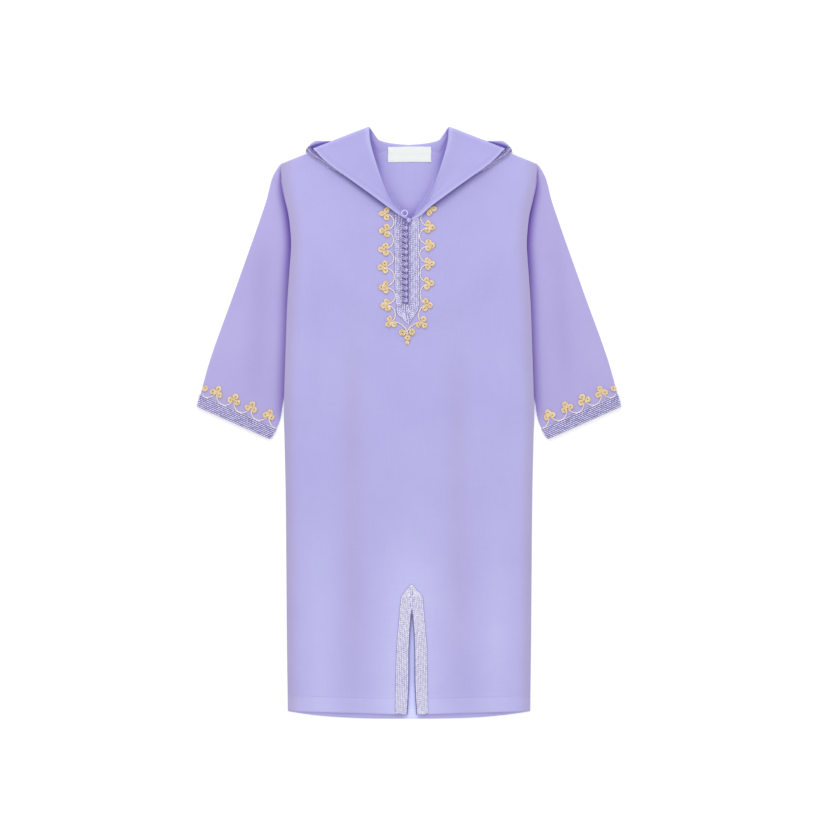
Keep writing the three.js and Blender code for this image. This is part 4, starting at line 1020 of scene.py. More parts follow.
# Half the width of the slit at heights from the hem up.
SLIT_HALVES = [
    (SLIT_BOTTOM, 5.9), (-386, 5.5), (-375, 4.6), (-350, 3.4), (-307, 3.3), (-278, 2.0), (-256, 0.3),
    (SLIT_TOP, 0),
]
BODY_CREASES = [
    ((-76, 150), (-73, -360), 15, -1.0),
    ((64, 140), (68, -365), 14, -0.95),
    ((-62, 60), (-66, -380), 10, 0.25),
    ((82, 90), (84, -390), 11, 0.25),
    ((-140, 60), (-138, -260), 12, -0.3),
    ((139, 20), (141, -300), 11, -0.3),
    ((-150, 250), (-112, 330), 9, -0.45),
    ((152, 244), (118, 326), 9, -0.4),
    ((-135, 232), (-70, 262), 8, 0.25),
    ((138, 226), (84, 250), 7, 0.2),
    ((-58, 300), (-96, 318), 6, 0.25),
    ((62, 296), (104, 330), 7, 0.25),
    ((-46, 250), (-52, 150), 7, 0.22),
    ((42, 240), (50, 120), 8, 0.22),
    ((-20, 108), (-26, 10), 10, 0.3),
    ((20, 104), (26, -20), 10, 0.25),
    ((3, -205), (0, -60), 14, 0.35),
    ((-22, -230), (-40, -150), 8, -0.25),
    ((30, -228), (46, -140), 8, -0.25),
    ((-30, -392), (-34, -300), 8, 0.35),
    ((38, -392), (40, -310), 8, 0.3),
    ((-110, -392), (-108, -320), 9, 0.4),
    ((112, -390), (108, -330), 9, 0.35),
]


def foot_shift(y):
    """How far to the right of the centre the foot of the neck's V lies."""
    return FOOT_SHIFT * soft_step(292, 274, y)


def middle_x(y):
    """The openings close a little to one side of the centre: placket to the left, slit to the right."""
    low = SLIT_X * soft_step(0, -200, y)
    high = PLACKET_X * soft_step(0, 130, y) * soft_step(277, 265, y) + foot_shift(y) * soft_step(265, 277, y)
    return np.where(np.asarray(y) < 0, low, high)


def opening_half(y):
    """Half the width of the slit, of the slot under the placket, and of the neck above it."""
    y = np.asarray(y, float)
    slit = np.interp(y, *zip(*SLIT_HALVES))
    slot = np.where(y > SLOT_END, SLOT_HALF, 0.0)
    return np.where(y < SLIT_TOP, slit, np.where(y > SLOT_TOP, through(NECK_EDGE, y), slot))


def front_hem(x):
    return mix(SLIT_BOTTOM, HEM_CORNER, np.clip(np.abs(x) / HEM_HALF, 0, 1))


def front_edge_inside(x, y):
    """How far inside the side seams, the shoulder line and the hem a place on the front lies."""
    to_side = side_half(y) - np.abs(x)
    to_shoulder = 0.93 * (shoulder_y(x) - y)
    return np.minimum(np.minimum(to_side, to_shoulder), y - front_hem(x))


def front_base(x, y):
    """The front lies on the back with a pad of air between them, thin at the sides, shoulders and hem."""
    across = 1 - np.clip(np.abs(x) / side_half(y), 0, 1) ** 5
    near_hem = 0.4 + 0.6 * soft_step(-HALF_LENGTH, -330, y)
    near_shoulder = soft_step(0, 45, shoulder_y(x) - y)
    air = SEAM + 2.2 * across * near_hem * near_shoulder
    return LIFT * raised(x, y) + 1.2 + air + 1.2


def front_top(x, y):
    """The base, with the creases, a fine uneven ripple, thicker hem, and edges that roll down over a few
    millimetres."""
    inside = front_edge_inside(x, y)
    calm = soft_step(0, 14, inside)
    folds = sum(crease(x, y, *row) for row in BODY_CREASES)
    ripple = 0.10 * np.sin(x / 17 + 1.3 * np.sin(y / 90)) * np.sin(y / 31 + x / 55)
    hem_fold = 0.45 * soft_step(22.5, 20.5, y - front_hem(x))
    to_side = side_half(y) - np.abs(x)
    roll_down = 1.3 * soft_step(15, 0, to_side) * soft_step(338, 312, y)
    roll_down = roll_down + 1.1 * (1 - edge_round(inside, 1.6))
    slit_edge = np.abs(np.abs(x - middle_x(y)) - opening_half(y))
    opened = np.where(y < SLIT_TOP, 0.5 * (1 - edge_round(slit_edge, 1.2)), 0)
    return front_base(x, y) + (folds + ripple) * calm + hem_fold - roll_down - opened


def front_shade(x, y):
    """Painted shadow, deeper under the wings' free edges; painted light, paler where the cloth swells towards
    the hem, between the troughs, and in the hem."""
    edge_x, edge_y = np.array(HOOD_EDGE).T
    below = 0.8 * (np.interp(np.abs(x), edge_x, edge_y) - y)
    deep = 3.4 * np.exp(-((np.clip(below, 0, 60) / 3.2) ** 1.5)) + 1.5 * np.exp(-np.clip(below, 0, 60) / 10)
    # Painted shadow under the wings' free edges.
    wing = deep * soft_step(14, 24, np.abs(x)) * soft_step(152, 128, np.abs(x))
    low = soft_step(-60, -300, y)
    swell = low * np.exp(-((x / 48) ** 2)) + 0.5 * low * np.exp(-(((np.abs(x) - 118) / 26) ** 2))
    hem_light = 0.5 * soft_step(-368, -374, y)
    return wing - 2.4 * swell - hem_light


def front_warm(x, y):
    """Painted shade of a pinker tone in the two long troughs and where the sides roll down."""
    troughs = -sum(crease(x, y, *row) for row in BODY_CREASES[:2])
    sides = soft_step(22, 0, side_half(y) - np.abs(x)) ** 1.3
    return 0.6 * troughs + 1.6 * sides


def front_panel():
    """Two halves, each a grid from the openings' edge to the side seam, that meet where there is no opening.
    Rows follow a table of heights at the centre and at the side."""
    rows = np.array(FRONT_ROWS, float)
    fine = [rows[:1]]
    for a, b in zip(rows[:-1], rows[1:]):
        count = int(np.ceil(np.abs(b - a).max() / 3.2))
        fine.append(mix(a, b, (np.arange(1, count + 1) / count)[:, None]))
    hem_extra = np.array([mix(rows[0], rows[1], t) for t in (0.015, 0.05, 0.1)])
    fine = np.concatenate([fine[0], hem_extra, *fine[1:]])
    centre, edge = fine[:, :1], fine[:, 1:]
    near_side = 1 - np.array([0.0, 0.25, 0.7, 1.3, 2.4]) / 165
    share = np.r_[[0.0, 0.5 / 165, 1.4 / 165], np.linspace(0.018, 0.975, 50), near_side[::-1]][None]
    patches = []
    for side in (LEFT, RIGHT):
        inner = middle_x(centre) + side * opening_half(centre)
        outer = side * (side_half(edge) - np.where(edge > TUCK_TOP, 0.3, 0.0))
        x = mix(inner, outer, share)
        y = mix(centre, edge, share)
        inset = mix(1.7, 0.1, soft_step(128, 143, np.abs(x)))
        last = np.arange(len(fine))[:, None] == len(fine) - 1
        y = np.where(last, shoulder_y(x) - inset, np.minimum(y, shoulder_y(x) - inset - 0.01))
        patches.append((x, y))
    net = flat_net(patches)

    def under(x, y):
        at_edge = 1 - edge_round(front_edge_inside(x, y), 1.6)
        return np.maximum(front_top(x, y) - CLOTH, back_top(x, y) + 0.15 - 0.6 * at_edge)

    return cloth_on(
        "front_panel_cloth", net, lambda x, y: np.maximum(front_top(x, y), under(x, y) + 0.4), under,
        body_cotton, shade=front_shade, warm=front_warm,
    )


front_piece = front_panel()
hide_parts("front_panel")

hem_x = [np.linspace(-158, -20, 120), np.linspace(28, 158, 110)]
hem_y = [front_hem(x) + FRONT_STITCH_UP for x in hem_x]
hem_runs = [np.c_[x, y, front_top(x, y)] for x, y in zip(hem_x, hem_y)]
front_stitches = stitches("front_hem_stitches", hem_runs, 2.2, 1.0, 0.3, lilac_thread)

# ---------------------------------------------------------------------------------------------------------
# Hood: sewn to the neck and turned out over the shoulders in two wings. Each wing rolls over at the neck,
# its hemmed free edge stands a little off the front, and behind the shoulder its corner turns back as a lip.

NECK_POINT = (54.0, HALF_LENGTH)
ROLL_LINE = [
    (0.5, 274.4), (5.6, 278.0), (12.4, 285.2), (26.2, 302.3), (36.6, 326), (47.4, 359.1), (52.7, 380),
    NECK_POINT,
]
INSIDE_NECK = [
    (0.3, 275.4), (3.4, 280.4), (8.4, 287.5), (20.0, 304.4), (29.4, 327.5), (37.4, 357), (41.2, 381.2),
]
HEM_LINE = 7.0  # how far the wings' hem stitches lie from the free edge
WING_CREASES = [
    ((60, 372), (76, 338), 7, 0.3),
    ((38, 312), (46, 330), 2.2, 0.55),
    ((33, 308), (38, 328), 1.8, -0.4),
    ((46, 314), (54, 326), 2.6, 0.35),
    ((90, 346), (118, 366), 5, 0.3),
    ((70, 330), (62, 346), 3.5, -0.3),
    ((20, 291), (26, 300), 1.6, 0.3),
]
# Where the lip starts at its inner line, its outer line, and their heights, going round the corner.
LIP = [
    (104, 377.4, 4.0, 106, 379.6, 3.0),
    (112, 374.2, 2.4, 116.5, 379.9, 4.2),
    (120, 371.1, 2.0, 126.5, 379.6, 5.2),
    (126, 368.8, 2.0, 133, 375.4, 5.8),
    (131, 367.0, 2.6, 138, 368.6, 6.0),
    (135.4, 364.8, 4.0, 139.4, 364, 5.4),
]


def wing_under(x, y, share, t):
    """The underside of a wing: the front's height, more air towards the free edge and along the roll."""
    towards_edge = 4.6 * soft_step(0.25, 1, share) * soft_step(0.05, 0.35, t)
    at_roll = 1.6 * (1 - share) ** 4 * soft_step(0.02, 0.2, t)
    at_foot = 1.6 * soft_step(0.45, 0.2, t) * soft_step(0, 0.14, t)
    return front_base(x, np.minimum(y, shoulder_y(x))) + SEAM + (towards_edge + at_roll) + at_foot


def grid_net(x, y):
    """A grid of places as one net."""
    return np.stack([x.ravel(), y.ravel()], -1), grid_triangles(*x.shape)


def corner_lip():
    """The hood's edge turned back behind the shoulder, going round the corner: a strip from its inner to its
    outer line with a small roll near the edge. Painted shadow makes it deeper where it is tucked in beside
    the wing, and it is painted a little paler elsewhere."""
    across = np.r_[np.linspace(0, 0.9, 12), [0.95, 0.98, 1.0]]
    r, c = np.meshgrid(np.linspace(0, 1, 34), across, indexing="ij")
    line = along(LIP, r)
    x, y = mix(line[..., 0], line[..., 3], c), mix(line[..., 1], line[..., 4], c)
    z = mix(line[..., 2], line[..., 5], soft_step(0, 0.85, c)) + 0.35 * np.exp(-(((c - 0.86) / 0.09) ** 2))
    z -= (line[..., 5] * 0.5) * (1 - edge_round(1 - c, 0.13))
    points, triangles = walled(grid_net(x, y), z.ravel(), np.maximum(z - 1.1, 0.1).ravel())
    past_x, past_y = x - HOOD_CORNER[0], y - HOOD_CORNER[1]
    slope = (HOOD_CORNER[1] - NECK_POINT[1]) / (HOOD_CORNER[0] - NECK_POINT[0])
    above = np.where(past_x < 0, 0.93 * (past_y - slope * past_x), np.hypot(past_x, past_y))
    wedge = mix(0.6, 5.4, soft_step(100, 129, x)) * soft_step(137, 132, x) + 0.01
    # Painted shadow in the wedge beside the wing's fold, and painted light, a little paler, elsewhere.
    shade = 6.0 * soft_step(wedge, 0.45 * wedge, above) - 0.4
    return points, triangles[:, ::-1], np.tile(shade.ravel(), 2)


def hood_wing(side):
    """A grid from the foot of the V to the fold over the shoulder, and across from the roll to the free
    edge; before the roll the same cloth goes on down inside the neck. Near the fold the cloth goes over and
    down in a half round. Gives the points and faces, the painted shade and highlights, and the upper face as
    a grid."""
    t = np.r_[np.linspace(0, 0.9, 66), np.linspace(0.905, 1, 22)]
    inside = -np.r_[np.linspace(1, 0.1, 12), [0.04]]
    outside = [np.linspace(0, 0.06, 5), np.linspace(0.08, 0.93, 40), np.linspace(0.94, 0.985, 7)]
    outside.append([0.993, 0.998, 1.0])
    t, share = np.meshgrid(t, np.r_[(inside, *outside)], indexing="ij")
    roll, edge, deep = along(ROLL_LINE, t), along(HOOD_EDGE, t), along(INSIDE_NECK, t)
    out, down = np.clip(share, 0, 1), np.clip(-share, 0, 1)
    place = roll + (edge - roll) * out[..., None] + (deep - roll) * down[..., None]
    x, y = place[..., 0], place[..., 1]
    from_edge = (1 - out) * np.linalg.norm(edge - roll, axis=-1)

    folds = sum(crease(x, y, *row) for row in WING_CREASES)
    calm = soft_step(0, 0.06, out) * soft_step(0, 4, from_edge)
    hem = 0.45 * soft_step(8.2, 7.0, from_edge) - 0.3 * np.exp(-(((from_edge - HEM_LINE) / 0.9) ** 2))
    lip_roll = 1.1 * np.exp(-(((from_edge - 1.3) / 1.2) ** 2))
    wave = 0.35 * np.sin(t * 17 + 0.6) * soft_step(0.5, 1, out)
    full = CLOTH + 1.3 * soft_step(0.1, 0, out) * soft_step(0.0, 0.2, t)
    top = wing_under(x, y, out, t) + full + folds * calm + (hem + lip_roll) * soft_step(0.02, 0.12, t) + wave
    top = top - 0.9 * (1 - edge_round(from_edge, 1.0))
    crest = top[:, [len(inside)]]
    sunk = mix(crest, back_top(x, y) - 0.7, 1 - (1 - down) ** 2.2)
    top = np.where(share < 0, sunk, top)

    fold_y = mix(NECK_POINT[1], HOOD_CORNER[1], (x - NECK_POINT[0]) / (HOOD_CORNER[0] - NECK_POINT[0]))
    below = np.where(x > NECK_POINT[0] - 6, (fold_y - y) * 0.93, 50.0)
    below = np.where(share < 0, np.linalg.norm(roll - along(ROLL_LINE, np.ones_like(t)), axis=-1), below)
    top = mix(np.minimum(top, 1.6), top, edge_round(below, 5.0))
    low = np.maximum(top - CLOTH - 0.5 * soft_step(0.1, 0, np.abs(share)), 0.1)
    points, triangles = walled(grid_net(x, y), top.ravel(), low.ravel())

    # Painted shade inside the neck below the roll and in a line along the hem's stitches; painted highlights
    # along the rolled free edge and along the roll.
    in_neck = mix(2.2, 5.6, soft_step(0.4, 0.75, t)) * np.exp(-((share / 0.8) ** 2))
    in_neck = in_neck * soft_step(0.0, -0.06, share)
    dark = in_neck + 0.9 * np.exp(-(((from_edge - 7.4) / 0.8) ** 2)) * (share > 0)
    pale = 2.0 * np.exp(-(((from_edge - 1.3) / 1.4) ** 2)) + 1.5 * np.exp(-(((share - 0.03) / 0.05) ** 2))
    lip_points, lip_triangles, lip_shade = corner_lip()
    both = np.concatenate([points, lip_points]) * [side, 1, 1]
    both[:, 0] += foot_shift(both[:, 1])
    faces = np.concatenate([triangles, lip_triangles + len(points)])
    if side == LEFT:
        faces = faces[:, ::-1]
    shade = np.concatenate([np.tile((dark - pale).ravel(), 2), lip_shade])
    skin = np.stack([side * x + foot_shift(y), y, top], -1)[:, len(inside):]
    return both, faces, shade, skin


hood_pieces, wing_skins = {}, {}
for side, word in ((LEFT, "left"), (RIGHT, "right")):
    points, faces, shade, wing_skins[side] = hood_wing(side)
    hood_pieces[side] = made_of(f"hood_{word}_cloth", points, faces, hood_cotton, shade=shade)
    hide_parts(f"hood_{word}")

# ---------------------------------------------------------------------------------------------------------
# Hood edge braid: the silvery chain stitch on the outer face of the hood's edge, which rolls into view at
# each shoulder and narrows to nothing along the wing's free edge.

# Where the braid leaves the wing, and how wide it shows, from the shoulder along the edge.
EDGE_BRAID = [
    (137.2, 369.6, 2.8), (133.8, 367.6, 4.6), (131.0, 363.8, 4.8), (124, 358.8, 4.9), (114, 352.2, 4.6),
    (102, 343.6, 3.4), (86, 332.0, 1.4), (78, 326.2, 0.6),
]
# A darker copy of the braid yarn, as painted shade: this braid lies in the shadow of the wing's edge.
edge_yarn_in_painted_shade = braid_material("edge_braid_yarn_in_painted_shade", (0.50, 0.46, 0.78), (0.20, 0.165, 0.40))
# The columns of the band's grid that carry a row, and how wide the band shows where each one runs.
EDGE_ROWS = ((3, 1.0), (4, 1.8), (5, 2.8), (6, 3.8))
for side, word in ((LEFT, "left"), (RIGHT, "right")):
    r, c = np.meshgrid(np.linspace(0, 1, 40), np.linspace(0, 1, 7), indexing="ij")
    rows = along(EDGE_BRAID, r)
    step = mix(-3.2, rows[..., 2], c)
    x, y = rows[..., 0] + 0.62 * step, rows[..., 1] - 0.785 * step
    z = front_base(x, np.minimum(y, shoulder_y(x))) + mix(4.6, 0.5, soft_step(0.42, 1, c))
    points, triangles = walled(grid_net(x, y), z.ravel(), z.ravel() - 0.8)
    band = made_of(f"hood_{word}_braid_ground_in_painted_shade", points * [side, 1, 1], triangles, braid_ground_in_painted_shade)
    runs = []
    for k, (column, least) in enumerate(EDGE_ROWS):
        run = np.stack([x, y, z], -1)[:, column][rows[:, 0, 2] > least] * [side, 1, 1]
        runs.append(run if k % 2 else run[::-1])
    chains = chain_rows(f"hood_{word}_braid_chains", runs, 1.2, edge_yarn_in_painted_shade, pitch=2.4, thick=0.7, high=0.55)
    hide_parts(f"hood_braid_{word}")
    hem_run = wing_skins[side][6:-4, -8]
    wing_stitches = stitches(f"hood_{word}_hem_stitches", [hem_run], 2.0, 0.9, 0.3, lilac_thread)

# ---------------------------------------------------------------------------------------------------------
# Placket: a pointed panel of close chain stitch rows worked down both sides of the neck opening, on a ground
# # of the same lilac, darkened as painted shade between the rows, with a fine cord round its edge.

def edge_line(*corners):
    """The x of a straight-sided edge at any height, from its corners as (y, x)."""
    heights, across = zip(*sorted(corners))
    return lambda y: np.interp(y, heights, across)


placket_left = edge_line((281, -20), (245, -20), (185, -18.6), (160, -17.2), (147, -16.4), (131.6, -0.7))
placket_right = edge_line((281, 13.8), (215, 14), (160, 13.6), (152, 12.8), (131.6, -0.7))


def band_round(name, ys, left, right, middle, material, shade):
    """The braid's ground: two halves from the opening's edge to the outer edges, on the front. They begin
    0.25 mm clear of the opening, and meet in the middle where there is none."""
    half = opening_half(ys)
    gap = half + np.where(half > 0, 0.25, 0.0)
    patches = []
    for side, outer in ((LEFT, left), (RIGHT, right)):
        inner = middle(ys) + side * gap
        x = mix(inner[:, None], outer(ys)[:, None], np.linspace(0, 1, 12)[None])
        patches.append((x, ys[:, None]))
    return cloth_on(
        name, flat_net(patches), lambda x, y: front_top(x, y) + 0.15 + 0.55,
        lambda x, y: front_top(x, y) + 0.15 - 0.1, material, shade=shade,
    )


def placket_middle(y):
    at_foot = mix(-0.7, PLACKET_X, soft_step(131.6, SLOT_END, y))
    return np.where(np.asarray(y) > SLOT_END, middle_x(y), at_foot)


def placket_shade(x, y):
    """Painted shade, deeper beside the loops, and a little paler in the point."""
    beside = 2.4 * np.exp(-(((x + 5.4) / 5.4) ** 4)) * soft_step(150, 162, y)
    return beside - 0.6 * soft_step(150, 138, y)


placket_ys = np.r_[
    np.linspace(132.4, SLOT_END, 16)[:-1],
    np.linspace(SLOT_END, SLOT_TOP, 44),
    np.linspace(SLOT_TOP, 281, 7)[1:],
]
# The placket's ground, darker than the body's cotton as painted shade between the rows of chain.
placket_cloth_in_painted_shade = cotton("placket_cloth_in_painted_shade", 0, (0.30, 0.27, 0.53), (0.25, 0.22, 0.47))
placket_ground = band_round(
    "placket_ground", placket_ys, placket_left, placket_right, placket_middle, placket_cloth_in_painted_shade, placket_shade
)


def band_runs(ys, left, right, middle, rows, clear, step):
    """Rows worked side by side from each outer edge of a band, 0.72 mm above the front. Beside the opening a
    number of rows fills the width that is left when a margin along the opening stays clear; where there is
    no opening they keep one step apart, end where they meet the middle, and one more runs up the middle."""
    def on_band(x, y):
        return front_top(x, y) + 0.72

    runs = []
    opened = opening_half(ys) > 0
    for towards, outer, count, margin in ((RIGHT, left, rows[0], clear[0]), (LEFT, right, rows[1], clear[1])):
        free = towards * (middle(ys) - outer(ys)) - opening_half(ys) - margin
        for k in range(12):
            x = outer(ys) + towards * (k + 0.5) * np.where(opened, free / count, step)
            room = np.where(opened, k < count, towards * (middle(ys) - x) > 0.4 * step)
            for part in np.split(np.arange(len(ys)), np.nonzero(np.diff(room.astype(int)))[0] + 1):
                if room[part[0]] and len(part) > 4:
                    run = np.c_[x[part], ys[part], on_band(x[part], ys[part])]
                    runs.append(run if k % 2 else run[::-1])
    closed = ys[~opened & (right(ys) - left(ys) > 1.5)]
    runs.append(np.c_[middle(closed), closed, on_band(middle(closed), closed) + 0.1])
    return runs


def painted_shade_beside_loops(x, y):
    """Painted shade: dimmer in the rows next to the loops and round the top knot."""
    beside = 0.6 * np.exp(-(((x + 5.4) / 7.6) ** 4)) * soft_step(152, 165, y)
    return beside + 0.3 * soft_step(262, 273, y) * soft_step(-22, -14, x) - 0.05


placket_lines = np.linspace(133, 280, 150)
clear_left = mix(6.0, 2.4, soft_step(262, 271, placket_lines))
clear_right = 2.6 + 2.4 * np.exp(-(((placket_lines - 270.5) / 4.5) ** 2))
placket_rows = band_runs(
    placket_lines, placket_left, placket_right, placket_middle, (4, 6), (clear_left, clear_right), 2.4
)
placket_yarn = braid_material("placket_yarn", (0.76, 0.735, 0.98), (0.22, 0.185, 0.41))
placket_chains = chain_rows(
    "placket_chains", placket_rows, 1.5, placket_yarn, pitch=2.9, thick=0.85, dim=-0.05, spread=0.2,
    painted_dimming=painted_shade_beside_loops,
)
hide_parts("placket_braid")
lilac_cord = cord_material("lilac_cord", (0.40, 0.37, 0.64), (0.20, 0.17, 0.38), 0.55)


def edge_cord(name, ys, left, right, high, radius):
    """A fine cord sewn on 0.1 mm inside both outer edges of a band."""
    edges = ((left, 0.1), (right, -0.1))
    paths = [np.c_[edge(ys) + inside, ys, front_top(edge(ys), ys) + high] for edge, inside in edges]
    return cords(name, paths, radius, lilac_cord, 5)


edge_ys = np.linspace(132.6, 280, 120)
placket_cord = edge_cord("placket_edge_cord", edge_ys, placket_left, placket_right, 0.45, 0.45)

# ---------------------------------------------------------------------------------------------------------
# Slit braid: the same chain stitch, whiter, round the slit in the front hem: straight rows down both bands,
# # a pointed top and a mitred end at the hem, a fine cord round its edge, and a darker one along the opening
# # that is partly painted shadow of the opening's edges.

slit_left = edge_line(
    (-217.2, 2.9), (-235, -10.4), (-252, -12.2), (-302, -16.6), (-350, -18), (-394.2, -18.6)
)
slit_right = edge_line((-217.2, 2.9), (-235, 18.4), (-252, 19.8), (-302, 24), (-350, 24.8), (-394.2, 25.5))


def slit_middle(y):
    return mix(SLIT_X, 2.9, soft_step(-250, -217, y))


slit_ys = np.r_[np.linspace(-394.0, SLIT_TOP, 48), np.linspace(SLIT_TOP, -218.2, 14)[1:]]
slit_cloth = cotton("slit_cloth", 0, (0.40, 0.38, 0.66), (0.34, 0.32, 0.60))
slit_ground = band_round(
    "slit_ground", slit_ys, slit_left, slit_right, slit_middle, slit_cloth, lambda x, y: 0 * x
)
slit_rows = band_runs(
    np.linspace(-393, -218.6, 180), slit_left, slit_right, slit_middle, (7, 7), (1.3, 1.3), 2.26
)
pale_yarn = braid_material("pale_braid_yarn", (0.90, 0.89, 1.0), (0.36, 0.34, 0.60))
slit_chains = chain_rows(
    "slit_chains", slit_rows, 1.6, pale_yarn, pitch=2.6, thick=0.85, dim=-0.15, spread=0.15
)
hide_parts("slit_braid")
edge_ys = np.linspace(-393.6, -218.0, 120)
slit_cord = edge_cord("slit_edge_cord", edge_ys, slit_left, slit_right, 0.4, 0.42)
# The dark cords along the opening: partly the edges' outline and partly painted shadow of the front's edges.
rim_ys = np.linspace(-393.6, -258, 100)
rims = [SLIT_X + side * (opening_half(rim_ys) + 0.65) for side in (LEFT, RIGHT)]
rim_paths = [np.c_[x, rim_ys, front_top(x, rim_ys) + 0.75] for x in rims]
deep_cord = cord_material("deep_lilac_cord", (0.30, 0.26, 0.52), (0.15, 0.12, 0.32), 0.6)
slit_rims = cords("slit_rim_cords", rim_paths, 0.62, deep_cord, 5)

# ---------------------------------------------------------------------------------------------------------
# Neck embroidery: fifteen trefoils of coiled gold cord round the placket, points outwards, joined by paler
# gold cord that swings in towards the placket between them.

# Middle of each trefoil, where it points in degrees, and how deep the cord after it swings.
NECK_TREFOILS = [
    (-32.0, 281.4, 180, 10.4), (-31.9, 258.5, 180, 10.4), (-33.2, 233.3, 180, 11.6),
    (-34.2, 209.4, 180, 12.4), (-33.1, 182.3, 180, 12.2), (-30.8, 158.1, 190, 8.2),
    (-24.6, 134.9, 225, 5.2), (-2.4, 119.4, 270, 4.4), (17.6, 134.3, 315, 6.6), (23.8, 158.6, 350, 8.6),
    (25.9, 187.5, 0, 10.2), (27.0, 214.2, 0, 11.4), (27.7, 238.8, 0, 11.8), (27.3, 263.4, 0, 11.0),
    (29.0, 287.4, 10, 0),
]
FOOT = 7
# The coils of the one at the foot, under the point of the placket: their places and sizes.
FOOT_COILS = [
    (-9.0, 121.9, 1.16), (3.8, 121.9, 1.12), (-1.6, 114.2, 1.04), (-2.2, 108.0, 0.62), (-2.4, 119.8, 0.3),
]
coils = []
for i, (x, y, points_to, _) in enumerate(NECK_TREFOILS):
    if i == FOOT:
        coils += [coil(cx, cy, 1.7 * k, size) for k, (cx, cy, size) in enumerate(FOOT_COILS)]
    else:
        coils += trefoil(x, y, points_to, 0.9 * i)
neck_gold = cords("neck_coils", sew_down(coils, front_top), COIL_CORD, gold_cord)
swings = []
for (ax, ay, _, sag), (bx, by, _, _) in zip(NECK_TREFOILS[:-1], NECK_TREFOILS[1:]):
    length = np.hypot(bx - ax, by - ay)
    swings.append(scallop((ax, ay), (bx, by), 1.12 * sag, (-(by - ay) / length, (bx - ax) / length)))
neck_pale = cords("neck_scallops", sew_down(swings, front_top, 0.1), SCALLOP_CORD, pale_cord, 5)
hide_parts("neck_embroidery")

# ---------------------------------------------------------------------------------------------------------
# Buttons and loops: thirteen small knotted cord balls on a cord down the middle of the opening, each held by
# three strands of loop cord from its left, and at the top one more knot and a larger free loop. They stay
# buttoned.

KNOT_ROWS, KNOT_PITCH, KNOT_TOP, KNOT_RADIUS, KNOT_HIGH = 13, 8.1, 261.9, 2.3, 3.2
TOP_KNOT, TOP_LOOP, TOP_LOOP_RADIUS, LOOP_REACH = (-0.4, 272.4), (-5.9, 281.9), 3.9, 6.5
# Of each strand of a loop: its start above the knot, how far it comes down, and how far across it reaches.
LOOP_STRANDS = ((3.4, 3.2, 6.0), (1.3, 3.2, 5.4), (-1.0, 2.4, 6.6))
knot_ys = KNOT_TOP - KNOT_PITCH * np.arange(KNOT_ROWS)


def on_braid(x, y):
    return front_top(np.asarray(x) - 3, y) + 1.1


def knot_balls(centres, radius, high):
    """Each knot is a ball whose surface swells and dips where three turns of cord cross: the radius is
    0.86 + 0.2 |sin(2 longitude + 2.2 latitude)| cos(latitude) of the ball's."""
    rows, columns = 13, 18
    lat, lon = np.meshgrid(
        np.linspace(-np.pi / 2, np.pi / 2, rows), np.linspace(0, 2 * np.pi, columns + 1)[:-1], indexing="ij"
    )
    swell = 0.86 + 0.2 * np.abs(np.sin(2 * lon + 2.2 * lat)) * np.cos(lat)
    x, y = np.cos(lat) * np.cos(lon) * swell, np.cos(lat) * np.sin(lon) * swell
    ball = np.stack([x, y, np.sin(lat) * (0.9 + 0.1 * swell)], -1).reshape(-1, 3) * [radius, radius, high / 2]
    points = (np.array(centres)[:, None] + ball[None]).reshape(-1, 3)
    triangles = copies_of(grid_triangles(rows, columns, ring=True, ends=True), len(centres), len(ball))
    twist = np.stack([(lat * 2.2 + lon * 2).ravel(), np.ones(lat.size), np.zeros(lat.size)], -1)
    return points, triangles, np.tile(twist, (len(centres), 1))


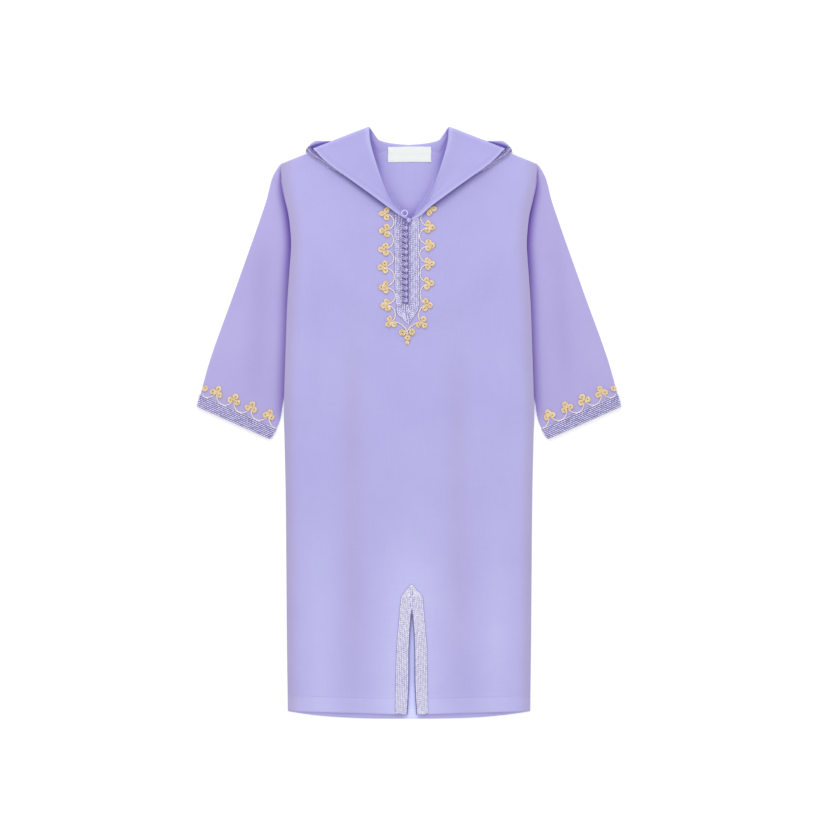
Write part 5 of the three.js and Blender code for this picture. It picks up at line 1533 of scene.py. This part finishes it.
centres = [(PLACKET_X, y, on_braid(PLACKET_X, y) + KNOT_HIGH / 2 - 0.1) for y in knot_ys]
points, triangles, twist = knot_balls(centres, KNOT_RADIUS + 0.15, KNOT_HIGH + 0.3)
top_centre = (*TOP_KNOT, on_braid(*TOP_KNOT) + KNOT_HIGH / 2 + 1.3)
top_points, top_triangles, top_twist = knot_balls([top_centre], KNOT_RADIUS + 0.8, KNOT_HIGH + 0.4)
triangles = np.concatenate([triangles, top_triangles + len(points)])
points, twist = np.concatenate([points, top_points]), np.concatenate([twist, top_twist])
knot_cord = cord_material("knot_cord", (0.74, 0.69, 1.0), (0.24, 0.20, 0.50), 0.5, turns=1.0, rise=0.0006)
knots = made_of("knot_balls", points, triangles, knot_cord, crisp=70, twist=twist)
spine_ys = np.r_[TOP_KNOT[1], 267, knot_ys, knot_ys[-1] - 4]
spine_xs = np.r_[TOP_KNOT[0], PLACKET_X * 0.8, np.full(KNOT_ROWS, PLACKET_X), PLACKET_X - 0.6]
spine = along(np.c_[spine_xs, spine_ys], np.linspace(0, 1, 140))
loop_paths = [np.c_[spine, on_braid(*spine.T) + 0.55]]
t = np.linspace(0, 1, 12)
for y in knot_ys:
    for start, drop, reach in LOOP_STRANDS:
        x = PLACKET_X - LOOP_REACH + reach * t
        ys = y + start - drop * t**1.5 + 0.5 * np.sin(np.pi * t)
        loop_paths.append(np.c_[x, ys, on_braid(x, ys) + 0.45 + 0.7 * np.sin(np.pi * t)])
left_ys = np.linspace(knot_ys[-1] - 3, 277, 60)
left_xs = PLACKET_X - LOOP_REACH + 0.1 + 0.25 * np.sin(left_ys * 2 * np.pi / KNOT_PITCH)
loop_paths.append(np.c_[left_xs, left_ys, on_braid(left_xs, left_ys) + 0.5])
turn = np.linspace(0, 2 * np.pi, 33) - np.pi / 2
top_loop = np.c_[
    TOP_LOOP[0] + TOP_LOOP_RADIUS * np.cos(turn),
    TOP_LOOP[1] + TOP_LOOP_RADIUS * np.sin(turn),
    on_braid(-6, 272.0) + 3.7 + 0 * turn,
]
pale_loop = cord_material("pale_loop_cord", (0.80, 0.76, 1.0), (0.58, 0.54, 0.92), 0.5)
free_loop = cords("free_loop_cord", [top_loop], 0.78, pale_loop, 8)
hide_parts("button_loops")
loop_cord = cord_material("loop_cord", (0.78, 0.75, 1.0), (0.34, 0.30, 0.62), 0.5)
loops = cords("loop_cords", loop_paths, [0.6] + [0.58] * (3 * KNOT_ROWS) + [0.5], loop_cord)
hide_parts("knot_buttons")
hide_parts("button_loops")
